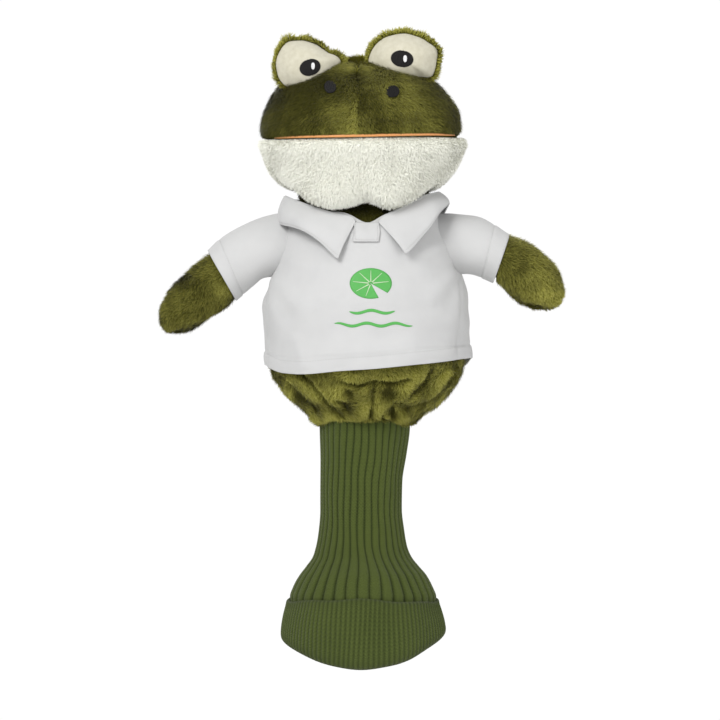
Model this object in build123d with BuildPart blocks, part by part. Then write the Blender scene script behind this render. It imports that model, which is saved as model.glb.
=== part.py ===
from build123d import *
from math import cos, radians, sin
import os

# A plush frog that covers the head of a golf driver. It wears a short shirt and stands on a knitted sock.
# +Z runs up the club's shaft axis and -Y is the toy's front. Left and right are the toy's own, so left is +X.
# The origin is on the shaft axis, at the seam where the sock meets the body.

# ---- driving dimensions, in millimetres and degrees ----
body_width = 149.0
body_depth = 126.0
body_height = 161.0  # from the gathered bottom of the plush to the neck
body_bottom = -4.0  # the plush laps this far over the top of the sock
body_plush = 5.0  # backing cloth and pile together

pocket_width = 126.0  # room for the widest part of a driver head
pocket_depth = 104.0
pocket_height = 112.0
lining = 1.2
stuffing_gap = 0.4

neck_radius = 28.0
neck_plush = 4.0
joint_gap = 0.4

head_width = 158.0
head_depth = 128.0
head_height = 98.0
head_plush = 5.0
head_over_body = 13.0  # the underside of the head above the top of the body
jowl_hang = 17.0  # the chin hangs this far below the underside of the head
mouth_level = 38.0  # the mouth line above the underside of the head
side_seam = 6.0  # the seam between face and back lies this far behind the shaft axis
lip = 1.4
lip_height = 3.0

eye_radius = 25.0
eye_depth = 18.0
eye_cloth = 3.0
eye_forward = 0.34  # the middle of an eye mound, as a share of the head's half depth
left_eye_out = 0.38  # and of its half width
right_eye_out = 0.53
pupil_width = 16.0
pupil_height = 12.0
glint_width = 2.8
glint_height = 4.4
nostril_width = 9.8
nostril_height = 9.0
thread = 0.8  # how far satin stitching stands proud

arm_root_radius = 22.0
arm_radius = 19.6
arm_plush = 4.0
shoulder_drop = 29.0  # shoulder centre below the top of the body
shoulder_inset = 13.5  # shoulder centre inside the body's widest half width
arm_raise = 45.0
arm_lower = 10.0
arm_room_gap = 0.5

shirt_ease = 0.6
shirt_cloth = 1.6
shirt_hem = 36.0
neckline_drop = 7.0  # the shirt ends this far below the top of the body
sleeve_length = 48.0
sleeve_ease = 0.5
sleeve_start = 3.0
sleeve_cloth = 1.8

collar_width = 109.0  # across the fold line
collar_depth = 78.0
collar_cloth = 2.0
collar_spread = 16.0  # how far the turned-down collar flares out
collar_reach = 47.0  # how far down that flare runs
collar_fold = 6.0  # fold line above the top of the body, at sides and back
collar_dip = 14.5  # how much lower the fold line is at the front
collar_back_dip = 5.0  # how much lower it is at the back, so that the head can tip back
placket_cloth = 1.2
placket_width = 18.0
placket_length = 16.0
placket_side = 2.0  # the placket sits a little to the left
print_film = 0.3
print_height = 98.0  # middle of the printed leaf
print_side = 5.0
leaf_width = 34.0
leaf_height = 24.0
wave_length = 62.0
wave_height = 3.0

sock_neck_width = 61.6
sock_neck_depth = 48.0
sock_lean = -0.8  # the tube hangs a little to the right
sock_tube_length = 138.0
sock_length = 189.0
sock_knit = 2.4
cuff_width = 122.0
cuff_depth = 100.0
cuff_height = 51.0
cuff_knit = 2.2
cuff_gap = 0.3
rim_radius = 95.6  # the rim hangs lower at the middle, on an arc of this radius

# ---- outlines: each row is a share of the height, of the half width and of the half depth ----
BODY_OUTLINE = (
    (0.000, 0.51, 0.49),
    (0.075, 0.71, 0.71),
    (0.149, 0.87, 0.86),
    (0.248, 0.98, 0.97),
    (0.398, 1.00, 1.00),
    (0.584, 0.98, 0.97),
    (0.720, 0.90, 0.86),
    (0.832, 0.81, 0.73),
    (0.925, 0.72, 0.63),
    (0.969, 0.62, 0.54),
    (1.000, 0.46, 0.43),
)
POCKET_OUTLINE = (
    (0.00, 0.49, 0.45),
    (0.12, 0.73, 0.73),
    (0.27, 0.95, 0.95),
    (0.50, 1.00, 1.00),
    (0.70, 0.97, 0.97),
    (0.87, 0.82, 0.80),
    (1.00, 0.50, 0.48),
)
# The sock's rings are evenly spaced from the body down, as shares of its narrowest width and depth.
SOCK_OUTLINE = (
    (1.10, 1.12),
    (1.06, 1.07),
    (1.02, 1.02),
    (1.00, 1.00),
    (1.08, 1.10),
    (1.48, 1.52),
    (1.75, 1.83),
)
# The head leans to the right and its snout stands forward: the last two values move each ring in x and y.
HEAD_OUTLINE = (
    (0.00, 0.71, 0.72, -2.0, -4.0),
    (0.08, 0.84, 0.84, -2.0, -7.0),
    (0.22, 0.96, 0.95, -1.5, -9.0),
    (0.39, 1.00, 1.00, -1.5, -10.0),
    (0.53, 0.95, 0.94, -2.5, -8.0),
    (0.71, 0.81, 0.83, -4.0, -3.0),
    (0.86, 0.62, 0.67, -5.5, 1.0),
    (0.96, 0.36, 0.41, -7.0, 4.0),
    (1.00, 0.13, 0.14, -7.0, 5.0),
)

# The soft double chin: share of its hang, of the head's half width and half depth, and how far forward.
JOWL_OUTLINE = (
    (-1.0, 0.23, 0.09, 0.91),
    (-0.6, 0.47, 0.17, 0.925),
    (0.0, 0.63, 0.23, 0.875),
    (0.5, 0.71, 0.28, 0.82),
)
# The lower edge of the turned-down collar: share of its half width, and how far below the fold line.
WING_OUTLINE = (
    (-1.10, 21.0),
    (-0.75, 27.0),
    (-0.37, 46.0),
    (-0.11, 17.0),
    (0.04, 11.0),
    (0.04, -5.0),
    (0.17, 17.0),
    (0.57, 43.0),
    (0.79, 27.0),
    (1.10, 12.0),
)

# ---- sizes worked out from the driving dimensions ----
body_top = body_bottom + body_height
shoulder_x = body_width / 2 - shoulder_inset
shoulder_z = body_top - shoulder_drop
head_base = body_top + head_over_body
head_top = head_base + head_height
mouth_z = head_base + mouth_level
neck_centre = Vector(0, 0, head_base + 4.0)
neck_bottom = body_top + joint_gap
shirt_outside = shirt_ease + shirt_cloth
neckline_z = body_top - neckline_drop
fold_z = body_top + collar_fold
arm_room_radius = arm_root_radius + sleeve_ease + sleeve_cloth + arm_room_gap
far = 400.0  # longer than anything here, for cutting tools

# side, angle below the horizontal and length from the shoulder centre to the tip
LEFT_ARM = (1, 23.0, 96.0)
RIGHT_ARM = (-1, 32.0, 107.0)

os.makedirs("parts", exist_ok=True)


# ---- shapes that several pieces share ----
def ringed_form(rings, mode=Mode.ADD):
    """A closed form lofted through level ellipses: height, half width, half depth, x and y of each."""
    faces = []
    for height, half_width, half_depth, x, y in rings:
        with BuildSketch(Plane.XY.offset(height)) as ring:
            with Locations((x, y)):
                Ellipse(half_width, half_depth)
        faces.append(ring.sketch)
    loft(sections=faces, mode=mode)


def body_form(grow, mode=Mode.ADD):
    """The torso, grown or shrunk all round."""
    rings = []
    for level, width, depth in BODY_OUTLINE:
        height = body_bottom - grow + level * (body_height + 2 * grow)
        rings.append((height, width * body_width / 2 + grow, depth * body_depth / 2 + grow, 0, 0))
    ringed_form(rings, mode)


def pocket_form(grow, mode=Mode.ADD):
    """The room for the club head, open at the bottom, where growing it leaves its height alone."""
    rings = []
    for level, width, depth in POCKET_OUTLINE:
        height = level * (pocket_height + grow)
        rings.append((height, width * pocket_width / 2 + grow, depth * pocket_depth / 2 + grow, 0, 0))
    ringed_form(rings, mode)


def head_form(grow, mode=Mode.ADD):
    """The head without its chin and eyes."""
    rings = []
    for level, width, depth, x, y in HEAD_OUTLINE:
        height = head_base - grow + level * (head_height + 2 * grow)
        rings.append((height, width * head_width / 2 + grow, depth * head_depth / 2 + grow, x, y))
    ringed_form(rings, mode)


def jowl_form(mode=Mode.ADD):
    """The soft double chin that hangs in front of the collar."""
    rings = []
    for level, width, depth, forward in JOWL_OUTLINE:
        height = head_base + level * jowl_hang
        rings.append(
            (height, width * head_width / 2, depth * head_depth / 2, -2.5, -forward * head_depth / 2)
        )
    ringed_form(rings, mode)


def sock_form(grow, mode=Mode.ADD):
    """The coarse ribbed tube, from the cuff up to the body."""
    rings = []
    for level, (width, depth) in enumerate(SOCK_OUTLINE):
        height = -level * sock_tube_length / (len(SOCK_OUTLINE) - 1)
        rings.append((height, width * sock_neck_width / 2 + grow, depth * sock_neck_depth / 2 + grow, sock_lean, 0))
    ringed_form(rings, mode)


def cuff_form(grow, mode=Mode.ADD):
    """The turned-up band at the mouth, with its rim on an arc."""
    half_width = cuff_width / 2 + grow
    half_depth = cuff_depth / 2 + grow
    ringed_form(
        (
            (-sock_length, 0.94 * half_width, 0.94 * half_depth, 0, 0),
            (-sock_length + 0.2 * cuff_height, half_width, half_depth, 0, 0),
            (-sock_length + 0.5 * cuff_height, half_width, half_depth, 0, 0),
            (-sock_length + 0.8 * cuff_height, 0.96 * half_width, 0.96 * half_depth, 0, 0),
            (-sock_length + cuff_height, 0.935 * half_width, 0.935 * half_depth, 0, 0),
        ),
        mode,
    )


def upright_ellipse(half_width, half_depth, bottom, top, mode=Mode.ADD):
    """An upright oval column, for the neck opening and the collar."""
    with BuildSketch(Plane.XY.offset(bottom)) as oval:
        Ellipse(half_width, half_depth)
    extrude(oval.sketch, amount=top - bottom, mode=mode)


def collar_cone(grow, mode=Mode.ADD):
    """The flare that the turned-down collar lies on."""
    half_width = collar_width / 2 + grow
    half_depth = collar_depth / 2 + grow
    with BuildSketch(Plane.XY.offset(fold_z - collar_reach)) as low:
        Ellipse(half_width + collar_spread, half_depth + collar_spread)
    with BuildSketch(Plane.XY.offset(fold_z)) as high:
        Ellipse(half_width, half_depth)
    loft(sections=[low.sketch, high.sketch], ruled=True, mode=mode)


def arm_plane(side, below):
    """A plane on the shoulder centre: x across the arm, y along it towards the paw."""
    along = (side * cos(radians(below)), 0, -sin(radians(below)))
    across = (-along[2], 0, along[0])
    return Plane((side * shoulder_x, 0, shoulder_z), x_dir=across, z_dir=(0, 1, 0))


def arm_form(arm, grow, mode=Mode.ADD):
    """A stuffed arm: a ball at the shoulder, a slight taper and a round paw."""
    side, below, length = arm
    place = arm_plane(side, below)
    root = arm_root_radius + grow
    paw = arm_radius + grow
    tip = length + grow
    with BuildSketch(place) as half:
        with BuildLine():
            CenterArc((0, 0), root, -90, 90)
            Spline(
                (root, 0),
                (paw, 0.46 * length),
                (0.97 * paw, 0.74 * length),
                (0.62 * paw, tip - 0.24 * paw),
                (0, tip),
                tangents=[(0, 1), (-1, 0)],
            )
            Line((0, tip), (0, -root))
        make_face()
    revolve(half.sketch, axis=Axis(place.origin, place.y_dir), mode=mode)


def arm_room(mode=Mode.SUBTRACT):
    """The space that both arms sweep between their limits."""
    for side, below, length in (LEFT_ARM, RIGHT_ARM):
        with Locations((side * shoulder_x, 0, shoulder_z)):
            Sphere(arm_room_radius, mode=mode)
        for turn in (-arm_lower, 0, 0.5 * arm_raise, arm_raise):
            place = arm_plane(side, below - turn)
            with BuildSketch(Plane(place.origin, z_dir=place.y_dir)) as round_end:
                Circle(arm_room_radius)
            extrude(round_end.sketch, amount=0.8 * length, mode=mode)


def neck_ball(radius, mode=Mode.ADD):
    """The ball that the head turns and nods on."""
    with Locations(neck_centre):
        Sphere(radius, mode=mode)


def eye_place(side):
    """Centre of an eye mound. The left eye sits higher because the head leans."""
    out = left_eye_out if side > 0 else -right_eye_out
    drop = 3.5 if side > 0 else 6.5
    return (out * head_width / 2, -eye_forward * head_depth / 2, head_top - drop)


def eye_form(side, grow, mode=Mode.ADD):
    """One eye mound, a ball flattened from front to back."""
    x, y, z = eye_place(side)
    radius = eye_radius + grow
    depth = eye_depth + grow
    rings = []
    for rise in (-78, -55, -28, 0, 28, 55, 78):
        spread = cos(radians(rise))
        rings.append((z + radius * sin(radians(rise)), radius * spread, depth * spread, x, y))
    ringed_form(rings, mode)


def oval_from_front(x, z, half_width, half_height, turn, mode=Mode.INTERSECT):
    """An oval bar that runs back from the front, for patches stitched or printed on a curved face."""
    wide = max(half_width, half_height)
    narrow = min(half_width, half_height)
    with BuildSketch(Plane.XZ.offset(2.0)) as oval:
        with Locations((x, z)):
            Ellipse(wide, narrow, rotation=turn)
    extrude(oval.sketch, amount=far, mode=mode)


def keep_behind(y):
    """Keeps what lies behind a plane that faces the front."""
    split(bisect_by=Plane.XZ.offset(-y), keep=Keep.BOTTOM)


def keep_before(y):
    """Keeps what lies in front of a plane that faces the front."""
    split(bisect_by=Plane.XZ.offset(-y), keep=Keep.TOP)


def keep_above(z):
    """Keeps what lies above a level."""
    split(bisect_by=Plane.XY.offset(z), keep=Keep.TOP)


def keep_below(z):
    """Keeps what lies below a level."""
    split(bisect_by=Plane.XY.offset(z), keep=Keep.BOTTOM)


def write(piece, name):
    """Labels a finished piece and writes its file."""
    piece.part.label = name
    export_step(piece.part, f"parts/{name}.step")
    print(name, len(piece.part.solids()), round(piece.part.volume, 1))


# ---- torso: plush, padding, lining and stuffing ----
padding_base = max(0, body_bottom + body_plush)
padding_top = pocket_height + lining + 5.0
sock_hole_width = SOCK_OUTLINE[0][0] * sock_neck_width + 2 * (cuff_gap - sock_lean)
sock_hole_depth = SOCK_OUTLINE[0][1] * sock_neck_depth + 2 * cuff_gap

with BuildPart() as body_front_panel:
    body_form(0)
    body_form(-body_plush, Mode.SUBTRACT)
    upright_ellipse(sock_hole_width / 2, sock_hole_depth / 2, -body_height / 4, padding_base, Mode.SUBTRACT)
    arm_room()
    keep_before(0)
write(body_front_panel, "body_front_panel")

with BuildPart() as body_back_panel:
    body_form(0)
    body_form(-body_plush, Mode.SUBTRACT)
    upright_ellipse(sock_hole_width / 2, sock_hole_depth / 2, -body_height / 4, padding_base, Mode.SUBTRACT)
    arm_room()
    keep_behind(0)
write(body_back_panel, "body_back_panel")

for name, keep in (("pocket_padding_front", keep_before), ("pocket_padding_back", keep_behind)):
    with BuildPart() as padding:
        body_form(-body_plush)
        keep_above(padding_base)
        keep_below(padding_top)
        pocket_form(lining, Mode.SUBTRACT)
        arm_room()
        keep(0)
    write(padding, name)

with BuildPart() as pocket_lining:
    pocket_form(lining)
    pocket_form(0, Mode.SUBTRACT)
    arm_room()
write(pocket_lining, "pocket_lining")

with BuildPart() as chest_stuffing:
    body_form(-body_plush)
    keep_above(padding_top + stuffing_gap)
    arm_room()
write(chest_stuffing, "chest_stuffing")

# ---- neck: a plush ball between body and head ----
with BuildPart() as neck_tube:
    neck_ball(neck_radius)
    neck_ball(neck_radius - neck_plush, Mode.SUBTRACT)
    keep_above(neck_bottom)
write(neck_tube, "neck_tube")

with BuildPart() as neck_stuffing:
    neck_ball(neck_radius - neck_plush)
    keep_above(neck_bottom)
write(neck_stuffing, "neck_stuffing")

# ---- head: face, chin, back and stuffing ----
socket_radius = neck_radius + joint_gap

with BuildPart() as head_top_panel:
    head_form(0)
    head_form(-head_plush, Mode.SUBTRACT)
    keep_above(mouth_z)
    keep_before(side_seam)
write(head_top_panel, "head_top_panel")

with BuildPart() as chin_panel:
    head_form(0)
    jowl_form()
    head_form(-head_plush, Mode.SUBTRACT)
    keep_below(mouth_z)
    keep_before(side_seam)
    neck_ball(socket_radius, Mode.SUBTRACT)
write(chin_panel, "chin_panel")

with BuildPart() as head_back_panel:
    head_form(0)
    head_form(-head_plush, Mode.SUBTRACT)
    keep_behind(side_seam)
    neck_ball(socket_radius, Mode.SUBTRACT)
write(head_back_panel, "head_back_panel")

with BuildPart() as head_stuffing:
    head_form(-head_plush)
    neck_ball(socket_radius, Mode.SUBTRACT)
write(head_stuffing, "head_stuffing")

with BuildPart() as mouth_piping:
    head_form(lip)
    head_form(0, Mode.SUBTRACT)
    keep_above(mouth_z - lip_height / 2)
    keep_below(mouth_z + lip_height / 2)
    keep_before(side_seam)
write(mouth_piping, "mouth_piping")


def nostril(x, above_mouth):
    """A stitched oval on the snout."""
    with BuildPart() as stitches:
        head_form(thread)
        head_form(0, Mode.SUBTRACT)
        oval_from_front(x, mouth_z + above_mouth, nostril_width / 2, nostril_height / 2, 0)
    return stitches


write(nostril(0.27 * head_width / 2, 0.36 * head_height), "left_nostril")
write(nostril(-0.32 * head_width / 2, 0.39 * head_height), "right_nostril")

# ---- eyes ----
for side, name in ((1, "left"), (-1, "right")):
    eye_x, eye_y, eye_z = eye_place(side)

    with BuildPart() as eye_front:
        eye_form(side, 0)
        eye_form(side, -eye_cloth, Mode.SUBTRACT)
        head_form(0, Mode.SUBTRACT)
        keep_before(eye_y)
    write(eye_front, f"{name}_eye_front")

    with BuildPart() as eye_back:
        eye_form(side, 0)
        eye_form(side, -eye_cloth, Mode.SUBTRACT)
        head_form(0, Mode.SUBTRACT)
        keep_behind(eye_y)
    write(eye_back, f"{name}_eye_back")

    with BuildPart() as eye_stuffing:
        eye_form(side, -eye_cloth)
        head_form(0, Mode.SUBTRACT)
    write(eye_stuffing, f"{name}_eye_stuffing")

    with BuildPart() as pupil:
        eye_form(side, thread)
        eye_form(side, 0, Mode.SUBTRACT)
        oval_from_front(eye_x - 1.0, eye_z - 1.5, pupil_width / 2, pupil_height / 2, 15 * -side)
        keep_before(eye_y)
    write(pupil, f"{name}_pupil")

    with BuildPart() as glint:
        eye_form(side, 1.6 * thread)
        eye_form(side, thread, Mode.SUBTRACT)
        oval_from_front(eye_x + 1.0, eye_z - 1.0, glint_height / 2, glint_width / 2, 90)
        keep_before(eye_y)
    write(glint, f"{name}_pupil_glint")

# ---- arms and sleeves ----
for arm, name in ((LEFT_ARM, "left"), (RIGHT_ARM, "right")):
    with BuildPart() as arm_shell:
        arm_form(arm, 0)
        arm_form(arm, -arm_plush, Mode.SUBTRACT)
    write(arm_shell, f"{name}_arm_shell")

    with BuildPart() as arm_stuffing:
        arm_form(arm, -arm_plush)
    write(arm_stuffing, f"{name}_arm_stuffing")

    place = arm_plane(arm[0], arm[1])
    with BuildPart() as sleeve:
        arm_form(arm, sleeve_ease + sleeve_cloth)
        arm_form(arm, sleeve_ease, Mode.SUBTRACT)
        split(bisect_by=Plane(place.origin + place.y_dir * sleeve_start, z_dir=place.y_dir), keep=Keep.TOP)
        split(bisect_by=Plane(place.origin + place.y_dir * sleeve_length, z_dir=place.y_dir), keep=Keep.BOTTOM)
    write(sleeve, f"{name}_sleeve")

# ---- shirt ----
for name, keep in (("shirt_front", keep_before), ("shirt_back", keep_behind)):
    with BuildPart() as shirt_panel:
        body_form(shirt_outside)
        body_form(shirt_ease, Mode.SUBTRACT)
        keep_above(shirt_hem)
        keep_below(neckline_z)
        arm_room()
        keep(0)
    write(shirt_panel, name)

stand_half_width = collar_width / 2 - collar_cloth / 2
stand_half_depth = collar_depth / 2 - collar_cloth / 2
stand_inner_width = stand_half_width - collar_cloth
stand_inner_depth = stand_half_depth - collar_cloth
front_point = (0, -collar_depth / 2, fold_z - collar_dip)
front_fold = Plane(front_point, x_dir=(1, 0, 0), z_dir=(0, -collar_dip, collar_depth / 2))
back_point = (0, collar_depth / 2, fold_z - collar_back_dip)
back_fold = Plane(back_point, x_dir=(1, 0, 0), z_dir=(0, collar_back_dip, collar_depth / 2))

with BuildPart() as collar_stand:
    upright_ellipse(stand_half_width, stand_half_depth, neckline_z - 4.0, fold_z)
    upright_ellipse(stand_inner_width, stand_inner_depth, neckline_z - 5.0, fold_z + 1, Mode.SUBTRACT)
    split(bisect_by=front_fold, keep=Keep.BOTTOM)
    split(bisect_by=back_fold, keep=Keep.BOTTOM)
    body_form(shirt_outside, Mode.SUBTRACT)
    arm_room()
write(collar_stand, "collar_stand")

with BuildPart() as collar_fall:
    collar_cone(collar_cloth)
    collar_cone(0, Mode.SUBTRACT)
    split(bisect_by=front_fold, keep=Keep.BOTTOM)
    split(bisect_by=back_fold, keep=Keep.BOTTOM)
    body_form(shirt_outside + cuff_gap, Mode.SUBTRACT)
    edge = [(out * collar_width / 2, fold_z - drop) for out, drop in WING_OUTLINE]
    with BuildSketch(Plane.XZ.offset(collar_depth)) as below_wings:
        with BuildLine():
            Polyline(
                (-far, fold_z - 20),
                *edge,
                (far, fold_z - 12),
                (far, fold_z - 90),
                (-far, fold_z - 90),
                close=True,
            )
        make_face()
    extrude(below_wings.sketch, amount=-collar_depth, mode=Mode.SUBTRACT)
    with Locations((0, collar_depth, fold_z - 72)):
        Box(far, 2 * collar_depth, 100, mode=Mode.SUBTRACT)
    arm_room()
write(collar_fall, "collar_fall")

with BuildPart() as placket:
    body_form(shirt_outside + placket_cloth)
    body_form(shirt_outside, Mode.SUBTRACT)
    with Locations((placket_side, -body_depth / 2, neckline_z - placket_length / 2)):
        Box(placket_width, body_depth, placket_length, mode=Mode.INTERSECT)
write(placket, "placket")

# The print is a round leaf with two wavy lines under it.
with BuildPart() as chest_print:
    body_form(shirt_outside + print_film)
    body_form(shirt_outside, Mode.SUBTRACT)
    with BuildSketch(Plane.XZ.offset(2.0)) as motif:
        with Locations((print_side, print_height)):
            Ellipse(leaf_width / 2, leaf_height / 2)
        with Locations((print_side + 1, print_height - 26), (print_side + 1, print_height - 34)):
            SlotOverall(wave_length, wave_height)
    extrude(motif.sketch, amount=far, mode=Mode.INTERSECT)
write(chest_print, "chest_print")

# ---- sock and cuff ----
inner_layer_top = -sock_tube_length
with BuildPart() as sock_tube:
    sock_form(0)
    sock_form(-sock_knit, Mode.SUBTRACT)
write(sock_tube, "sock_tube")


def cut_rim():
    """Leaves the rim on an arc that hangs lowest at the middle."""
    with Locations((0, 0, rim_radius - sock_length)):
        Cylinder(rim_radius, far, rotation=(90, 0, 0), mode=Mode.INTERSECT)


with BuildPart() as cuff_inner_layer:
    cuff_form(-cuff_knit - cuff_gap)
    cuff_form(-2 * cuff_knit - cuff_gap, Mode.SUBTRACT)
    keep_below(inner_layer_top)
    cut_rim()
write(cuff_inner_layer, "cuff_inner_layer")

with BuildPart() as cuff_outer_layer:
    cuff_form(0)
    cuff_form(-cuff_knit, Mode.SUBTRACT)
    cut_rim()
write(cuff_outer_layer, "cuff_outer_layer")
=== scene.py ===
# %% [markdown]
# # A plush frog cover for a golf driver
# The toy is sewn from olive plush, white fleece and cream felt, wears a white jersey shirt, and stands on a
# knitted sock with a turned-up cuff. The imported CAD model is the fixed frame: every piece below is worked
# out from its boxes, so that cloth, fur and knit land where the design says. Lengths are in metres.
# %% Load the frame
import bmesh
import bpy
import math
import numpy as np
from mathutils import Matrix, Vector
from mathutils.bvhtree import BVHTree


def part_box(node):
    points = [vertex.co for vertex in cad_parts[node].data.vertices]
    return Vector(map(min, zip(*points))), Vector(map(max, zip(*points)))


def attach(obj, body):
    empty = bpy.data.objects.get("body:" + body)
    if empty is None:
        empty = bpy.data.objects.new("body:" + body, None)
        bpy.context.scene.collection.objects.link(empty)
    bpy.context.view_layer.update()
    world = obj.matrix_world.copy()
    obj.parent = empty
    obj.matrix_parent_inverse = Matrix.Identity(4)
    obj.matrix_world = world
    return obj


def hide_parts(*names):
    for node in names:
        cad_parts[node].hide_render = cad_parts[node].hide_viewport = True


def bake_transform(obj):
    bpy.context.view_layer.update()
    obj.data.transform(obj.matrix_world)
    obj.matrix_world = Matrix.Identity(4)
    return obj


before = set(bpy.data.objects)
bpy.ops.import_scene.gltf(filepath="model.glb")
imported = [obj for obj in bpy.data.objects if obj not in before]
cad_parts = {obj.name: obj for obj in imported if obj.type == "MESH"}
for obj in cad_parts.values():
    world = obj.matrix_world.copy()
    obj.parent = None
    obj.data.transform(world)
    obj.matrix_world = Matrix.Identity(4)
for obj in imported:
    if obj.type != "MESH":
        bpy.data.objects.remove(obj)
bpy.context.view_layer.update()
MM = 0.001

# %% [markdown]
# ## Smooth outlines
# A sewn toy has no sharp corners, so each outline is a short list of rings and a curve through them. A
# monotone curve is the safe choice: unlike a plain spline it never bulges past the rings that the pattern
# asks for.


# %% Curve and mesh helpers
def through(knots, values, at):
    """A smooth curve through values at knots that never overshoots them. Values may be numbers or rows."""
    x = np.asarray(knots, float)
    y = np.asarray(values, float).reshape(len(x), -1)
    at = np.clip(np.asarray(at, float), x[0], x[-1])
    step = np.diff(x)[:, None]
    rise = np.diff(y, axis=0) / step
    slope = np.zeros_like(y)
    same = rise[1:] * rise[:-1] > 0
    mean = 2 * rise[1:] * rise[:-1] / np.where(same, rise[1:] + rise[:-1], 1)
    slope[1:-1] = np.where(same, mean, 0)
    slope[0], slope[-1] = rise[0], rise[-1]
    i = np.clip(np.searchsorted(x, at, side="right") - 1, 0, len(x) - 2)
    t = ((at - x[i]) / np.diff(x)[i])[..., None]
    h = step[i]
    out = (
        (2 * t**3 - 3 * t**2 + 1) * y[i]
        + (t**3 - 2 * t**2 + t) * h * slope[i]
        + (3 * t**2 - 2 * t**3) * y[i + 1]
        + (t**3 - t**2) * h * slope[i + 1]
    )
    return out[..., 0] if np.ndim(values[0]) == 0 else out


def ease(low, high, x):
    """0 below low, 1 above high, and a soft step between."""
    t = np.clip((np.asarray(x, float) - low) / (high - low), 0, 1)
    return t * t * (3 - 2 * t)


def bell(x, width):
    """A bump of height 1 about zero."""
    return np.exp(-((x / width) ** 2))


def ripple(points, wavelength, seed):
    """Soft lumps from -1 to 1 over space, the same each run: a few waves in random directions."""
    rng = np.random.default_rng(seed)
    total = np.zeros(points.shape[:-1])
    for _ in range(7):
        direction = rng.normal(size=3)
        direction *= 2 * math.pi / (wavelength * rng.uniform(0.7, 1.5) * np.linalg.norm(direction))
        total += np.sin(points @ direction + rng.uniform(0, 2 * math.pi))
    return np.clip(total / 3.2, -1, 1)


def ring_points(x, y, z):
    """Rows and columns of points from x, y and z, which may each be a number, a column or a grid."""
    return np.stack(np.broadcast_arrays(x, y, z), axis=-1)


def turns(count, shift=0.0):
    """Angles of count columns round a ring that starts in front, shifted by a share of a column."""
    return 2 * math.pi * (np.arange(count) + shift) / count - math.pi / 2


def grid_normals(points, wrap):
    """Outward normals of a grid of points whose columns turn anticlockwise seen from above, rows going up."""
    if wrap:
        across = np.roll(points, -1, axis=1) - np.roll(points, 1, axis=1)
    else:
        across = np.gradient(points, axis=1)
    along = np.gradient(points, axis=0)
    normal = np.cross(across, along)
    return normal / np.maximum(np.linalg.norm(normal, axis=-1, keepdims=True), 1e-12)


def grid_piece(name, points, wrap=True, caps=(False, False), keep=None, values=None, metres=(1, 1)):
    """A mesh object from rows and columns of points. keep picks faces, values are numbers for each point."""
    rows, cols = points.shape[:2]
    number = np.arange(rows * cols).reshape(rows, cols)
    right = np.roll(number, -1, axis=1) if wrap else number[:, 1:]
    left = number if wrap else number[:, :-1]
    quads = np.stack([left[:-1], right[:-1], right[1:], left[1:]], axis=-1)
    turn = np.arange(quads.shape[1]) / cols
    lift = np.arange(rows - 1) / (rows - 1)
    one = np.array([0, 1 / cols, 1 / cols, 0])
    up = np.array([0, 0, 1, 1]) / (rows - 1)
    uv = np.stack(np.broadcast_arrays(turn[None, :, None] + one, lift[:, None, None] + up), axis=-1)
    chosen = np.ones(quads.shape[:2], bool) if keep is None else keep
    faces = [tuple(f) for f in quads[chosen]]
    corner_uv = [tuple(c) for face in uv[chosen] for c in face]
    verts = points.reshape(-1, 3)
    extra = []
    for end, wanted in zip((0, rows - 1), caps):
        if wanted:
            middle = len(verts) + len(extra)
            extra.append(points[end].mean(0))
            ring = number[end]
            for a, b in zip(ring, np.roll(ring, -1)):
                faces.append((b, a, middle) if end == 0 else (a, b, middle))
                corner_uv += [(0.5, float(end > 0))] * 3
    if extra:
        verts = np.vstack([verts, extra])
    mesh = bpy.data.meshes.new(name)
    mesh.from_pydata(verts.tolist(), [], faces)
    layer = mesh.uv_layers.new(name="Cloth")
    scaled = np.array(corner_uv, np.float32) * np.array(metres, np.float32)
    layer.data.foreach_set("uv", scaled.ravel())
    for label, numbers in (values or {}).items():
        flat = np.asarray(numbers, np.float32)
        vector = flat.ndim == 3
        flat = flat.reshape(rows * cols, -1)
        if extra:
            flat = np.vstack([flat] + [flat[-1:]] * len(extra))
        kind = ("FLOAT_VECTOR", "vector") if vector else ("FLOAT", "value")
        mesh.attributes.new(label, kind[0], "POINT").data.foreach_set(kind[1], flat.ravel())
    return finish_mesh(name, mesh)


def finish_mesh(name, mesh):
    """Drops unused points, shades smooth and puts the mesh in the scene."""
    work = bmesh.new()
    work.from_mesh(mesh)
    loose = [v for v in work.verts if not v.link_faces]
    bmesh.ops.delete(work, geom=loose, context="VERTS")
    work.to_mesh(mesh)
    work.free()
    mesh.polygons.foreach_set("use_smooth", [True] * len(mesh.polygons))
    piece = bpy.data.objects.new(name, mesh)
    bpy.context.scene.collection.objects.link(piece)
    return piece


def thicken(piece, thickness, offset=-1.0):
    """Gives cloth its real thickness and leaves a plain mesh."""
    modifier = piece.modifiers.new("thickness", "SOLIDIFY")
    modifier.thickness = thickness
    modifier.offset = offset
    return bake_modifiers(piece)


def bake_modifiers(piece):
    """Turns a piece's modifiers into plain mesh."""
    bpy.context.view_layer.update()
    done = bpy.data.meshes.new_from_object(piece.evaluated_get(bpy.context.evaluated_depsgraph_get()))
    piece.modifiers.clear()
    piece.data = done
    return piece


def span(*nodes):
    """Lowest and highest corner of several CAD nodes together."""
    boxes = [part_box(n) for n in nodes]
    low = np.min([list(b[0]) for b in boxes], axis=0)
    high = np.max([list(b[1]) for b in boxes], axis=0)
    return low, high


body_low, body_high = span("body_front_panel", "body_back_panel")
head_low, head_high = span("head_top_panel", "head_back_panel")
print("body", (body_high - body_low).round(4), "head", (head_high - head_low).round(4))

# %% [markdown]
# ## Node trees in a few lines
# Materials and Geometry Nodes are both graphs. One helper adds a node, sets its options and feeds its
# inputs with either a number or another node's output, which keeps each graph short enough to read top to
# bottom.


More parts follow.
